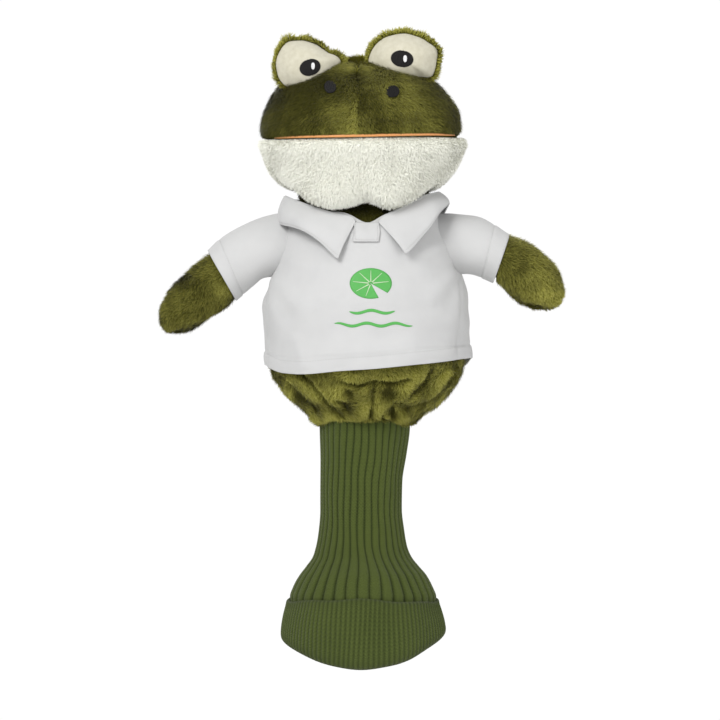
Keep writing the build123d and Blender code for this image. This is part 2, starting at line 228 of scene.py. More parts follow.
# %% Node helper
def node(tree, kind, settings=None, feed=None):
    """Adds a node and returns its outputs. feed gives inputs by name or number."""
    made = tree.nodes.new(kind)
    for key, value in (settings or {}).items():
        setattr(made, key, value)
    for key, value in (feed or {}).items():
        socket = made.inputs[key]
        if isinstance(value, bpy.types.NodeSocket):
            tree.links.new(value, socket)
        else:
            socket.default_value = value
    return made.outputs


def calculator(tree):
    """A function that adds one arithmetic node to a tree."""

    def calc(operation, a, b=0.0, clamp=False):
        return node(tree, "ShaderNodeMath", {"operation": operation, "use_clamp": clamp}, {0: a, 1: b})[0]

    return calc


def ramp(tree, factor, stops):
    """A colour ramp: stops are (place, (r, g, b))."""
    out = node(tree, "ShaderNodeValToRGB", None, {0: factor})
    band = out[0].node.color_ramp
    while len(band.elements) < len(stops):
        band.elements.new(0.5)
    for element, (position, colour) in zip(band.elements, stops):
        element.position = position
        element.color = (*colour, 1)
    return out[0]


def mix(tree, blend, factor, a, b):
    """Two colours mixed by a factor."""
    made = node(tree, "ShaderNodeMix", {"data_type": "RGBA", "blend_type": blend}, {0: factor})
    inputs = made[2].node.inputs
    for socket, value in ((inputs[6], a), (inputs[7], b)):
        if isinstance(value, bpy.types.NodeSocket):
            tree.links.new(value, socket)
        else:
            socket.default_value = (*value, 1) if len(value) == 3 else value
    return made[2]


def surface(name, roughness, sheen=0.0, specular=0.3):
    """A material with its principled shader, and the tree to build in."""
    material = bpy.data.materials.new(name)
    material.use_nodes = True
    tree = material.node_tree
    shader = tree.nodes["Principled BSDF"]
    shader.inputs["Roughness"].default_value = roughness
    shader.inputs["Sheen Weight"].default_value = sheen
    shader.inputs["Sheen Roughness"].default_value = 0.5
    shader.inputs["Specular IOR Level"].default_value = specular
    return material, tree, shader


def place(tree):
    """Where a point is on the piece, in metres."""
    return node(tree, "ShaderNodeTexCoord")["Object"]


def noise(tree, scale, detail=3.0, rough=0.6):
    """Noise on Object coordinates, scale in lumps to the metre."""
    settings = {"Vector": place(tree), "Scale": scale, "Detail": detail, "Roughness": rough}
    return node(tree, "ShaderNodeTexNoise", None, settings)["Fac"]


def bump(tree, shader, height, distance, strength=1.0):
    """Fine relief for what is too small to mesh."""
    feed = {"Height": height, "Distance": distance, "Strength": strength}
    tree.links.new(node(tree, "ShaderNodeBump", None, feed)[0], shader.inputs["Normal"])


def tinted(name, low, high, lumps, detail, *finish):
    """A surface that wavers between two colours, with lumps to the metre."""
    material, tree, shader = surface(name, *finish)
    tree.links.new(mix(tree, "MIX", noise(tree, lumps, detail), low, high), shader.inputs["Base Color"])
    return material, tree, shader


print("node helpers ready")

# %% [markdown]
# ## Plush and fleece
# Plush is a cloth with thousands of cut yarn ends. Each strand is dark at its root, where little light gets
# in, and pale at its tip, so colour follows a strand's own length. The strands carry a small map for that:
# across is a tone picked for each strand, and up is how far along the strand a point is.


# %% Strand and backing materials
def strand_material(name, dark, light, sheen):
    """Pile: dark[0..2] and light[0..2] are root, middle and tip colours of the darkest and palest strands."""
    material, tree, shader = surface(name, 0.65, sheen, 0.12)
    chart = node(tree, "ShaderNodeUVMap", {"uv_map": "OFBake"})[0]
    parts = node(tree, "ShaderNodeSeparateXYZ", None, {0: chart})
    low = ramp(tree, parts["Y"], list(zip((0.0, 0.45, 1.0), dark)))
    high = ramp(tree, parts["Y"], list(zip((0.0, 0.45, 1.0), light)))
    tree.links.new(mix(tree, "MIX", parts["X"], low, high), shader.inputs["Base Color"])
    return material


def backing_material(name, low, high, grain):
    """The knitted ground that the pile stands on."""
    material, tree, shader = tinted(name, low, high, 90.0, 3.0, 0.9, 0.05, 0.1)
    bump(tree, shader, noise(tree, grain, 1.0), 0.0004, 0.6)
    return material


green_strands = strand_material(
    "olive_pile",
    ((0.018, 0.017, 0.0012), (0.041, 0.039, 0.003), (0.074, 0.070, 0.008)),
    ((0.080, 0.075, 0.009), (0.225, 0.215, 0.029), (0.480, 0.458, 0.112)),
    0.04,
)
white_strands = strand_material(
    "white_pile",
    ((0.84, 0.84, 0.76), (0.88, 0.88, 0.80), (0.91, 0.91, 0.83)),
    ((0.88, 0.88, 0.80), (0.92, 0.92, 0.84), (0.94, 0.94, 0.86)),
    0.1,
)
green_backing = backing_material("olive_backing", (0.038, 0.036, 0.004), (0.070, 0.066, 0.008), 900.0)
white_backing = backing_material("white_backing", (0.88, 0.88, 0.81), (0.94, 0.94, 0.88), 900.0)
print("pile materials", green_strands.name, white_strands.name)

# %% [markdown]
# ## One tree grows all the pile
# Fur could be a hair system, but the export keeps meshes only. A Geometry Nodes tree scatters points on the
# backing cloth and stands a thin tapered blade on each. The cloth carries the direction that a hand has
# brushed it in, the pile's length and its tone, so seams, folds and swirls are drawn on the cloth and the
# tree only follows them.


# %% Pile tree
def pile_tree(material):
    """Blades on every face, combed along the attribute comb."""
    tree = bpy.data.node_groups.new("pile_" + material.name, "GeometryNodeTree")
    face = tree.interface
    face.new_socket("Geometry", in_out="INPUT", socket_type="NodeSocketGeometry")
    sizes = {"Density": 1e6, "Length": 0.005, "Width": 0.0005, "Lean": 0.6, "Stray": 0.4}
    for label, value in sizes.items():
        face.new_socket(label, in_out="INPUT", socket_type="NodeSocketFloat").default_value = value
    face.new_socket("Seed", in_out="INPUT", socket_type="NodeSocketInt").default_value = 1
    face.new_socket("Geometry", in_out="OUTPUT", socket_type="NodeSocketGeometry")
    given = node(tree, "NodeGroupInput")
    calc = calculator(tree)

    def named(label, kind):
        return node(tree, "GeometryNodeInputNamedAttribute", {"data_type": kind}, {"Name": label})[0]

    def random(kind, low, high, salt):
        feed = {"Seed": calc("ADD", given["Seed"], salt)}
        made = node(tree, "FunctionNodeRandomValue", {"data_type": kind}, feed)
        inputs = made[0].node.inputs
        first = 0 if kind == "FLOAT_VECTOR" else 2
        inputs[first].default_value, inputs[first + 1].default_value = low, high
        return made[0] if kind == "FLOAT_VECTOR" else made[1]

    def vector(operation, a, b=None, scale=None):
        feed = {0: a}
        if b is not None:
            feed[1] = b
        if scale is not None:
            feed["Scale"] = scale
        return node(tree, "ShaderNodeVectorMath", {"operation": operation}, feed)[0]

    feed = {"Mesh": given["Geometry"], "Density": given["Density"], "Seed": given["Seed"]}
    scatter = node(tree, "GeometryNodeDistributePointsOnFaces", {"distribute_method": "RANDOM"}, feed)
    jitter = vector("SCALE", random("FLOAT_VECTOR", (-1, -1, -1), (1, 1, 1), 11), scale=given["Stray"])
    combed = vector("SCALE", vector("ADD", named("comb", "FLOAT_VECTOR"), jitter), scale=given["Lean"])
    upright = vector("SCALE", scatter["Normal"], scale=calc("SUBTRACT", 1.0, given["Lean"]))
    lie = vector("NORMALIZE", vector("ADD", combed, upright))
    first = node(tree, "FunctionNodeAlignRotationToVector", {"axis": "Y"}, {"Vector": lie})[0]
    settings, feed = {"axis": "Z", "pivot_axis": "Y"}, {"Rotation": first, "Vector": scatter["Normal"]}
    turn = node(tree, "FunctionNodeAlignRotationToVector", settings, feed)[0]

    feed = {"Size X": 1.0, "Size Y": 1.0, "Vertices X": 2, "Vertices Y": 3}
    blade = node(tree, "GeometryNodeMeshGrid", None, feed)
    at = node(tree, "ShaderNodeSeparateXYZ", None, {0: node(tree, "GeometryNodeInputPosition")[0]})
    along = calc("ADD", at["Y"], 0.5)
    taper = calc("SUBTRACT", 1.0, calc("MULTIPLY", calc("POWER", along, 1.6), 0.9))
    arch = calc("MULTIPLY", calc("SINE", calc("MULTIPLY", along, math.pi)), 0.16)
    bent = node(tree, "ShaderNodeCombineXYZ", None, {0: calc("MULTIPLY", at["X"], taper), 1: along, 2: arch})
    feed = {0: blade[0], "Name": "along", "Value": along}
    blade = node(tree, "GeometryNodeStoreNamedAttribute", None, feed)[0]
    blade = node(tree, "GeometryNodeSetPosition", None, {"Geometry": blade, "Position": bent[0]})[0]

    length = calc("MULTIPLY", given["Length"], random("FLOAT", 0.7, 1.15, 23))
    length = calc("MULTIPLY", length, named("pile", "FLOAT"))
    size = node(tree, "ShaderNodeCombineXYZ", None, {0: given["Width"], 1: length, 2: length})[0]
    tone = calc("ADD", named("tone", "FLOAT"), random("FLOAT", -0.22, 0.22, 37), clamp=True)
    feed = {0: scatter["Points"], "Name": "strand", "Value": tone}
    points = node(tree, "GeometryNodeStoreNamedAttribute", None, feed)[0]
    feed = {"Points": points, "Instance": blade, "Rotation": turn, "Scale": size}
    made = node(tree, "GeometryNodeInstanceOnPoints", None, feed)[0]
    made = node(tree, "GeometryNodeRealizeInstances", None, {0: made})[0]
    feed = {0: named("strand", "FLOAT"), 1: named("along", "FLOAT")}
    chart = node(tree, "ShaderNodeCombineXYZ", None, feed)[0]
    settings = {"data_type": "FLOAT2", "domain": "CORNER"}
    stored = node(tree, "GeometryNodeStoreNamedAttribute", settings, {0: made, "Name": "OFBake"})
    tree.links.new(chart, next(s for s in stored[0].node.inputs if s.name == "Value" and s.enabled))
    feed = {"Geometry": stored[0], "Material": material}
    made = node(tree, "GeometryNodeSetMaterial", None, feed)[0]
    node(tree, "NodeGroupOutput", None, {0: made})
    return tree

# %% [markdown]
# The tree runs once for each cloth, with its own density, length and lean, and its result is kept as a mesh
# of its own. The brushed direction comes from a pull and a few soft swirls, which is how a hand leaves
# plush. A groove presses a seam or a fold into the cloth and tells the pile where it is.

# %% Growing, brushing and pressing
def grow(skin, name, tree, seed, **sizes):
    """Grows pile on a backing cloth and returns it as a mesh of its own."""
    modifier = skin.modifiers.new("pile", "NODES")
    modifier.node_group = tree
    for socket in tree.interface.items_tree:
        if socket.in_out == "INPUT" and socket.name in sizes:
            modifier[socket.identifier] = float(sizes[socket.name])
        if socket.in_out == "INPUT" and socket.name == "Seed":
            modifier[socket.identifier] = seed
    bpy.context.view_layer.update()
    mesh = bpy.data.meshes.new_from_object(skin.evaluated_get(bpy.context.evaluated_depsgraph_get()))
    skin.modifiers.remove(modifier)
    mesh.name = name
    mesh.polygons.foreach_set("use_smooth", [True] * len(mesh.polygons))
    piece = bpy.data.objects.new(name, mesh)
    bpy.context.scene.collection.objects.link(piece)
    print(name, "triangles", sum(len(p.vertices) - 2 for p in mesh.polygons))
    return piece


green_tree = pile_tree(green_strands)
white_tree = pile_tree(white_strands)
print("pile trees", green_tree.name, white_tree.name)


def comb_along(points, normals, pull, swirl, seed):
    """The way the pile lies: pull, one direction or one for each point, turned by soft swirls, kept flat."""
    way = np.broadcast_to(np.asarray(pull, float), points.shape).copy()
    for axis in range(3):
        way[..., axis] += swirl * ripple(points, 0.030, seed + axis)
    way -= (way * normals).sum(-1, keepdims=True) * normals
    return way / np.maximum(np.linalg.norm(way, axis=-1, keepdims=True), 1e-9)


def groove(points, normals, route, width, depth):
    """Presses a line into the front of a surface. The route is in x and z, in millimetres."""
    flat = points[..., [0, 2]] / MM
    nearest = np.full(flat.shape[:-1], 1e9)
    for a, b in zip(np.array(route[:-1], float), np.array(route[1:], float)):
        t = np.clip(((flat - a) @ (b - a)) / max((b - a) @ (b - a), 1e-9), 0, 1)
        nearest = np.minimum(nearest, np.linalg.norm(flat - a - t[..., None] * (b - a), axis=-1))
    front = ease(0.0, 0.4, -normals[..., 1])
    mark = bell(nearest, width) * front
    return points - normals * (mark * depth * MM)[..., None], mark

# %% [markdown]
# ## The head
# The face, the back of the head and the fleece chin are three cloths round one ball of stuffing, so one
# surface is shaped first and then cut along the mouth and the side seams. Each column of points climbs from
# the neck, under the chin, over the widest part at the mouth and up to the crown.


# %% Shape the head
MOUTH_ROW = 40
HEAD_ROWS = 99
SEAM_X = -4.8  # the seam down the face stands a little to the right of the middle
NOSTRILS = {"left": ((20.8, 240.2), (9.4, 9.0)), "right": ((-24.8, 243.6), (8.4, 9.6))}
head_columns = 176
angle = turns(head_columns, 0.5)
head_half = (head_high - head_low) / 2
head_tall = head_high[2] - head_low[2]
PILE = 3.2 * MM

# level, half width and half depth as shares of the head's, and x and y of the ring's middle
HEAD_RINGS = (
    (0.02, 0.38, 0.47, 0.0, 0.0),
    (-0.01, 0.56, 0.60, -1.0, -2.0),
    (0.01, 0.72, 0.74, -2.0, -4.0),
    (0.08, 0.845, 0.85, -2.0, -7.0),
    (0.21, 0.950, 0.945, -1.5, -9.0),
    (0.32, 1.00, 0.99, -1.5, -10.0),
    (0.375, 0.955, 0.975, -2.0, -10.0),
    (0.44, 0.965, 0.975, -2.5, -9.5),
    (0.53, 0.950, 0.94, -2.5, -8.0),
    (0.71, 0.835, 0.84, -4.0, -3.5),
    (0.86, 0.65, 0.69, -5.5, 0.0),
    (0.955, 0.38, 0.43, -7.0, 3.5),
    (0.985, 0.16, 0.18, -7.0, 5.0),
)
ring_knots = (0, 7, 14, 20, 29, 36, MOUTH_ROW, 45, 52, 66, 80, 92, HEAD_ROWS - 1)
rings = through(ring_knots, HEAD_RINGS, np.arange(HEAD_ROWS))
level, wide, deep, shift_x, shift_y = rings.T[..., None]
head = ring_points(
    shift_x * MM + (wide * head_half[0] - PILE) * np.cos(angle),
    shift_y * MM + (deep * head_half[1] - PILE) * np.sin(angle),
    head_low[2] + level * head_tall,
)
# the chin hangs in two soft lobes with a notch between them
lobe_x = (-64, -52, -38, -24, -10, 1.4, 10, 18, 30, 42, 54, 62)
lobe_drop = (0, 6, 14, 15.5, 12.5, 8.5, 11.5, 15, 13, 9, 3, 0)
drop = through(lobe_x, lobe_drop, head[..., 0] / MM) * MM
drop *= ease(-22, -44, head[..., 1] / MM) * ease(27, 2, (head[..., 2] - head_low[2]) / MM)
head[..., 2] -= drop
head[..., 1] -= 0.42 * drop
head[..., 2] += 0.02 * head[..., 0] * ease(0.2, 0.4, level)
out = grid_normals(head, True)
front = ease(0.15, 0.5, -out[..., 1])
rows = np.arange(HEAD_ROWS)[:, None]
head -= out * (bell(rows - MOUTH_ROW, 1.6) * ease(-0.25, 0.1, -np.sin(angle)) * 4.2 * MM)[..., None]
head += out * (bell(rows - MOUTH_ROW - 5, 4.0) * front * 1.3 * MM)[..., None]
head += out * (bell(rows - MOUTH_ROW + 5, 5.0) * ease(-0.2, 0.3, -np.sin(angle)) * 1.8 * MM)[..., None]
head += out * (ripple(head, 0.055, 3) * 0.8 * MM)[..., None]
# the jowls are fullest close under the mouth
jowl = bell(rows - 33, 4.5) * ease(58, 76, np.abs(head[..., 0] / MM))
head[..., 2] += jowl * np.where(head[..., 0] < 0, 5.0, 3.0) * MM
head, dart = groove(head, out, ((-4.0, 235), (-4.8, 224), (-5.3, 214)), 1.4, 2.4)
out = grid_normals(head, True)
print("head rows", head.shape[0], "columns", head.shape[1])

# %% [markdown]
# The brushed direction makes plush look like plush. On the snout the pile is stroked down and outwards from
# the centre seam, and it parts along the seam. Where it lies away from the light a patch looks darker, so
# the tone carries painted light and shade: soft patches, one side darker than the other, a lighter crown and
# the light and dark edges of the seam's crease.

# %% Cut the head into its cloths
side = np.sign(head[..., 0] - SEAM_X * MM)
apart = 0.3 + 0.35 * ease(0, 0.03, np.abs(head[..., 0]))
pull = np.stack([apart * side, -0.1 * np.ones_like(side), -1.0 * np.ones_like(side)], -1)
head_comb = comb_along(head, out, pull, 0.55, 20)
across, up = head[..., 0] / MM, head[..., 2] / MM
# soft lighter and darker patches: partly random tone, partly painted shade where the pile lies away from the
# light
head_tone_and_shade = -0.13 + 0.24 * ripple(head, 0.060, 31) + 0.12 * ripple(head, 0.014, 32)
# painted light and shade: the side at negative x is darker, the side at positive x lighter
head_tone_and_shade += 0.48 * ease(-58, 26, across)
facing = ease(0.0, 0.4, -out[..., 1])
# painted light: a pale band beside the seam, and a lighter crown where the eyes shade it
head_tone_and_shade += (
    0.30 * facing * bell(across + 9.5, 5.0) * ease(240, 226, up)
    + 0.90 * bell(across + 5, 15) * ease(250, 260, up)
)
# painted shade in the crease of the seam
head_tone_and_shade -= 0.34 * facing * bell(across + 1.0, 3.0) * ease(220, 230, up) * ease(244, 238, up)
# a painted highlight along the edge of the crease
head_tone_and_shade += 0.60 * facing * bell(across + 6.4, 1.1) * ease(236, 230, up)
head_pile = 0.30 + 0.70 * ease(0, 6, np.abs(rows - MOUTH_ROW)) * np.ones_like(head_tone_and_shade)
head_pile *= 1 - 0.6 * dart
for (hole_x, hole_z), _ in NOSTRILS.values():
    off = np.hypot(head[..., 0] / MM - hole_x, head[..., 2] / MM - hole_z)
    head_pile *= 1 - 0.88 * ease(7.0, 4.5, off) * (head[..., 1] < 0)

column = np.arange(head_columns)
behind = np.sin(2 * math.pi * (column + 1.0) / head_columns - math.pi / 2) > 0.16
above = rows[:-1] >= MOUTH_ROW
head_values = {"comb": head_comb, "pile": head_pile, "tone": head_tone_and_shade}
print("head tone from", round(float(head_tone_and_shade.min()), 2), "to", round(float(head_tone_and_shade.max()), 2))

# %% [markdown]
# Three cloths are cut from the one surface: face, back and chin. The chin is white fleece, shorter and more
# tangled than the plush, so it has its own materials, brushing and pile sizes.

# %% Make the three head cloths
def head_cloth(name, keep, values, tree, backing, seed, **sizes):
    """One of the head's cloths with its pile."""
    cap = (False, name != "chin")
    keep = np.broadcast_to(keep, (HEAD_ROWS - 1, head_columns))
    skin = grid_piece(name + "_cloth", head, True, cap, keep, values)
    pile = grow(skin, name + "_pile", tree, seed, **sizes)
    skin.data.materials.append(backing)
    for piece in (skin, pile):
        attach(piece, "head")
    return skin, pile


face_skin, face_pile = head_cloth(
    "head_top", above & ~behind, head_values, green_tree, green_backing, 101,
    Density=2.9e6, Length=5.0 * MM, Width=0.66 * MM, Lean=0.66, Stray=0.42,
)
nape_skin, nape_pile = head_cloth(
    "head_back", behind, head_values, green_tree, green_backing, 102,
    Density=2.1e6, Length=5.2 * MM, Width=0.78 * MM, Lean=0.66, Stray=0.42,
)
chin_values = dict(head_values)
chin_values["comb"] = comb_along(head, out, (0, 0, -1), 0.45, 50)
chin_values["tone"] = 0.55 + 0.12 * ripple(head, 0.020, 51)
chin_skin, chin_pile = head_cloth(
    "chin", ~above & ~behind, chin_values, white_tree, white_backing, 103,
    Density=3.0e6, Length=3.6 * MM, Width=0.66 * MM, Lean=0.42, Stray=0.95,
)
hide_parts("head_top_panel", "head_stuffing")
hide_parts("head_back_panel")
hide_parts("chin_panel")

# %% [markdown]
# ## Reading a finished surface
# Eyes, nostrils, the print and the stitches lie on cloth that is already shaped. A ray from the front finds
# the cloth under any point, and gives the way it faces, so small things sit on it however it curves.


# %% Rays and small stitched things
def tree_of(piece):
    """A piece's faces, ready for rays."""
    mesh = piece.data
    return BVHTree.FromPolygons([v.co for v in mesh.vertices], [tuple(p.vertices) for p in mesh.polygons])


def from_front(cloth, x, z, proud=0.0):
    """The point of a cloth seen from the front at x and z in metres, lifted proud of it, and its normal."""
    spot, normal, _, _ = cloth.ray_cast((x, -0.4, z), (0, 1, 0))
    if spot is None:
        return None, None
    normal = normal if normal.y < 0 else -normal
    return np.array(spot + normal * proud), np.array(normal)

# %% [markdown]
# Satin stitch, hems and topstitching are all one thing: a short thread laid many times. One tree lays a
# thread at every point of a guide mesh, along a direction and to a length stored on that point.

# %% Stitch tree
def thread_material(name, colour, roughness=0.45):
    low = tuple(c * 0.8 for c in colour)
    return tinted(name, low, colour, 2500.0, 1.0, roughness, 0.02, 0.25)[0]


def stitch_tree(material):
    """A thread at each point, along the attribute way and as long as the attribute run."""
    tree = bpy.data.node_groups.new("stitch_" + material.name, "GeometryNodeTree")
    face = tree.interface
    face.new_socket("Geometry", in_out="INPUT", socket_type="NodeSocketGeometry")
    face.new_socket("Thickness", in_out="INPUT", socket_type="NodeSocketFloat").default_value = 0.0004
    face.new_socket("Geometry", in_out="OUTPUT", socket_type="NodeSocketGeometry")
    given = node(tree, "NodeGroupInput")
    way = node(tree, "GeometryNodeInputNamedAttribute", {"data_type": "FLOAT_VECTOR"}, {"Name": "way"})[0]
    run = node(tree, "GeometryNodeInputNamedAttribute", {"data_type": "FLOAT"}, {"Name": "run"})[0]
    feed = {"Segments": 8, "Rings": 5, "Radius": 0.5}
    ball = node(tree, "GeometryNodeMeshUVSphere", None, feed)[0]
    turn = node(tree, "FunctionNodeAlignRotationToVector", {"axis": "Z"}, {"Vector": way})[0]
    size = node(tree, "ShaderNodeCombineXYZ", None, {0: given["Thickness"], 1: given["Thickness"], 2: run})[0]
    points = node(tree, "GeometryNodeMeshToPoints", None, {0: given["Geometry"]})[0]
    feed = {"Points": points, "Instance": ball, "Rotation": turn, "Scale": size}
    made = node(tree, "GeometryNodeInstanceOnPoints", None, feed)[0]
    made = node(tree, "GeometryNodeRealizeInstances", None, {0: made})[0]
    made = node(tree, "GeometryNodeSetMaterial", None, {"Geometry": made, "Material": material})[0]
    node(tree, "NodeGroupOutput", None, {0: made})
    return tree


black_thread = thread_material("black_thread", (0.005, 0.004, 0.004), 0.5)
white_thread = thread_material("white_thread", (0.80, 0.80, 0.80))
seam_thread = thread_material("seam_thread", (0.50, 0.50, 0.49), 0.7)
lip_thread = thread_material("lip_satin", (0.80, 0.36, 0.13), 0.35)
black_stitch = stitch_tree(black_thread)
white_stitch = stitch_tree(white_thread)
seam_stitch = stitch_tree(seam_thread)
print("stitch trees", black_stitch.name, white_stitch.name, seam_stitch.name)

# %% [markdown]
# A satin oval is rows of threads laid over the cloth by rays, and a seam is threads spaced along a line.
# Both end as one plain mesh for each piece.

# %% Laying threads
def stitches(name, tree, points, ways, runs, thickness, body):
    """Threads laid at points and made one plain mesh."""
    mesh = bpy.data.meshes.new(name)
    mesh.from_pydata([tuple(p) for p in points], [], [])
    mesh.attributes.new("way", "FLOAT_VECTOR", "POINT").data.foreach_set("vector", np.float32(ways).ravel())
    mesh.attributes.new("run", "FLOAT", "POINT").data.foreach_set("value", np.float32(runs).ravel())
    piece = bpy.data.objects.new(name, mesh)
    scene.collection.objects.link(piece)
    modifier = piece.modifiers.new("stitches", "NODES")
    modifier.node_group = tree
    socket = next(s for s in tree.interface.items_tree if s.name == "Thickness")
    modifier[socket.identifier] = thickness
    bake_modifiers(piece)
    piece.data.polygons.foreach_set("use_smooth", [True] * len(piece.data.polygons))
    if body:
        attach(piece, body)
    return piece


def satin_oval(name, cloth, middle, size, turn, tree, proud, body, slot):
    """An embroidered oval: close rows of thread over a curved cloth."""
    x0, z0 = middle[0] * MM, middle[1] * MM
    half_w, half_h = size[0] * MM / 2, size[1] * MM / 2
    c, s = math.cos(math.radians(turn)), math.sin(math.radians(turn))
    points, ways, runs = [], [], []
    pitch = 0.36 * MM
    rows_of = int(2 * half_h / pitch)
    for k in range(rows_of + 1):
        v = -half_h + k * 2 * half_h / rows_of
        reach = half_w * math.sqrt(max(0.0, 1 - (v / half_h) ** 2)) + 0.15 * MM
        pieces = max(2, int(2 * reach / (1.7 * MM)))
        edge = np.linspace(-reach, reach, pieces + 1)
        lay = []
        for u in edge:
            spot, _ = from_front(cloth, x0 + c * u - s * v, z0 + s * u + c * v, proud)
            lay.append(spot)
        for a, b in zip(lay, lay[1:]):
            if a is None or b is None:
                continue
            points.append((a + b) / 2)
            ways.append((b - a) / max(np.linalg.norm(b - a), 1e-9))
            runs.append(np.linalg.norm(b - a) * 1.35)
    return stitches(name, tree, points, ways, runs, 0.62 * MM, body)


def stitch_line(name, lay, thickness, gap, body, tree=None):
    """Running stitches along a row of points, each as long as the gap between them."""
    lay = np.array(lay)
    step = np.linalg.norm(np.diff(lay, axis=0), axis=1)
    reach = np.concatenate([[0], np.cumsum(step)])
    at = np.arange(0, reach[-1], gap)
    ahead = np.minimum(at + 0.66 * gap, reach[-1])
    a = np.stack([np.interp(at, reach, lay[:, i]) for i in range(3)], -1)
    b = np.stack([np.interp(ahead, reach, lay[:, i]) for i in range(3)], -1)
    run = np.linalg.norm(b - a, axis=1)
    way = (b - a) / run[:, None]
    return stitches(name, tree or seam_stitch, (a + b) / 2, way, run, thickness, body)

# %% [markdown]
# ## Eyes
# Each eye is a small cushion: a cream felt patch in front and olive plush behind, whose long pile stands
# round the patch as a fringe. The patch isn't round, so its outline is a radius for each direction, closed
# by a smooth curve.

# %% Make the eyes
scene = bpy.context.scene
nose_lookup = tree_of(face_skin)
around = np.linspace(0, 2 * math.pi, 97)[:-1]


EYE_SEAM, FELT_BULGE, HOOD_BULGE = -24.0, 14.0, 20.0  # millimetres in y


def eye(name, outline, pupil, glint, tilt, seed):
    """One eye. The outline is (degrees, radius) pairs; pupil and glint are a middle and a size."""
    low, high = span(name + "_eye_front", name + "_eye_back")
    middle = np.array([(low[0] + high[0]) / 2, 0, (low[2] + high[2]) / 2 - 2 * MM])
    degrees, radii = np.array(outline, float).T
    knots = np.concatenate([degrees - 360, degrees, degrees + 360])
    reach = through(knots, np.concatenate([radii] * 3), np.degrees(around)) * MM

    def ring_set(shares, depths, extra):
        radius = reach * np.array(shares)[:, None] + extra
        depth = np.array(depths)[:, None] * MM
        return ring_points(middle[0] + radius * np.cos(around), depth, middle[2] + radius * np.sin(around))

    t = np.linspace(0.03, 1.0, 26)
    front = ring_set(t, EYE_SEAM - FELT_BULGE * (1 - t**2.6), 0.0)
    front = front[::-1]
    patch_out = -grid_normals(front, True)
    front += 0.35 * MM * ripple(front, 0.016, seed)[..., None] * patch_out
    patch = grid_piece(name + "_eye_patch", front[:, ::-1], True, (False, True))
    patch.data.materials.append(eye_felt)
    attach(patch, "head")
    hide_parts(name + "_eye_front", name + "_eye_stuffing")

    back_t = np.linspace(0, math.pi / 2, 22)
    dome = ring_set(np.maximum(np.cos(back_t), 0.03), EYE_SEAM + HOOD_BULGE * np.sin(back_t), 1.0 * MM)
    dome = np.concatenate([ring_set([0.965], [EYE_SEAM - 0.8], 0.4 * MM), dome])
    dome = dome[:, ::-1]
    dome_out = grid_normals(dome, True)
    away = dome - (middle + np.array([0, -14 * MM, -8 * MM]))
    away /= np.linalg.norm(away, axis=-1, keepdims=True)
    values = {
        "comb": comb_along(dome, dome_out, away, 0.5, seed),
        "pile": 0.82 + 0.42 * ripple(dome, 0.011, seed + 5) + 0.18 * ease(0.2, 0.8, dome_out[..., 2]),
        "tone": 1.05 + 0.2 * ripple(dome, 0.010, seed + 6),
    }
    hood = grid_piece(name + "_eye_hood", dome, True, (False, True), None, values)
    fringe = grow(hood, name + "_eye_fringe", green_tree, seed,
                  Density=3.0e6, Length=4.4 * MM, Width=0.74 * MM, Lean=0.52, Stray=0.8)
    hood.data.materials.append(green_backing)
    for piece in (hood, fringe):
        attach(piece, "head")
    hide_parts(name + "_eye_back")

    felt = tree_of(patch)
    dark = satin_oval(
        name + "_pupil_stitches", felt, *pupil, tilt, black_stitch, 0.15 * MM, "head", "black_thread"
    )
    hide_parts(name + "_pupil")
    light = satin_oval(
        name + "_glint_stitches", felt, *glint, 90, white_stitch, 0.55 * MM, "head", "white_thread"
    )
    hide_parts(name + "_pupil_glint")
    print(name, "eye", [p.name for p in (patch, hood, fringe, dark, light)])


eye_felt, felt_tree, felt_shader = tinted(
    "eye_felt", (0.45, 0.42, 0.31), (0.63, 0.605, 0.50), 260.0, 4.0, 0.85, 0.35, 0.15
)
bump(felt_tree, felt_shader, noise(felt_tree, 2600.0, 2.0), 0.0003, 0.5)
eye(
    "right",
    (
        (3, 25.0), (29, 17.0), (52, 15.6), (75, 15.9), (111, 18.6), (136, 22.6), (166, 23.6), (215, 24.5),
        (270, 22), (330, 23),
    ),
    ((-40.2, 259.2), (15.2, 12.0)), ((-38.0, 260.2), (4.4, 2.7)), 18, 301,
)
eye(
    "left",
    (
        (-50, 17.6), (-29, 24.8), (-6, 24.5), (15, 26), (39, 22), (72, 19.6), (105, 20), (138, 22.5),
        (163, 25.5), (183, 27), (225, 22), (270, 17),
    ),
    ((28.4, 265.6), (16.2, 12.2)), ((30.6, 265.6), (4.4, 2.7)), -9, 302,
)

# %% [markdown]
# The nostrils are satin stitched like the pupils, and the lip is a satin cord sewn along the mouth. A
# bevelled curve would make the cord too, but rings round the mouth's own row of points follow its dips and
# thin out at both ends.

# %% Nostrils and lip
for name, (middle, size) in NOSTRILS.items():
    hole = satin_oval(
        name + "_nostril_stitches", nose_lookup, middle, size, 10, black_stitch, 1.3 * MM,
        "head", "black_thread",
    )
    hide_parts(name + "_nostril")


def tube_along(name, lay, radius, sides, material):
    """A round cord of cloth along points, thin at both ends."""
    lay = np.array(lay)
    along = np.gradient(lay, axis=0)
    along /= np.linalg.norm(along, axis=1, keepdims=True)
    across = np.cross(along, (0, 0, 1.0))
    across /= np.linalg.norm(across, axis=1, keepdims=True)
    upward = np.cross(across, along)
    turn = np.linspace(0, 2 * math.pi, sides, endpoint=False)
    ring = across[:, None] * np.cos(turn)[:, None] + upward[:, None] * np.sin(turn)[:, None]
    points = lay[:, None] + ring * np.asarray(radius).reshape(-1, 1, 1)
    piece = grid_piece(name, points, True, (True, True))
    piece.data.materials.append(material)
    return piece


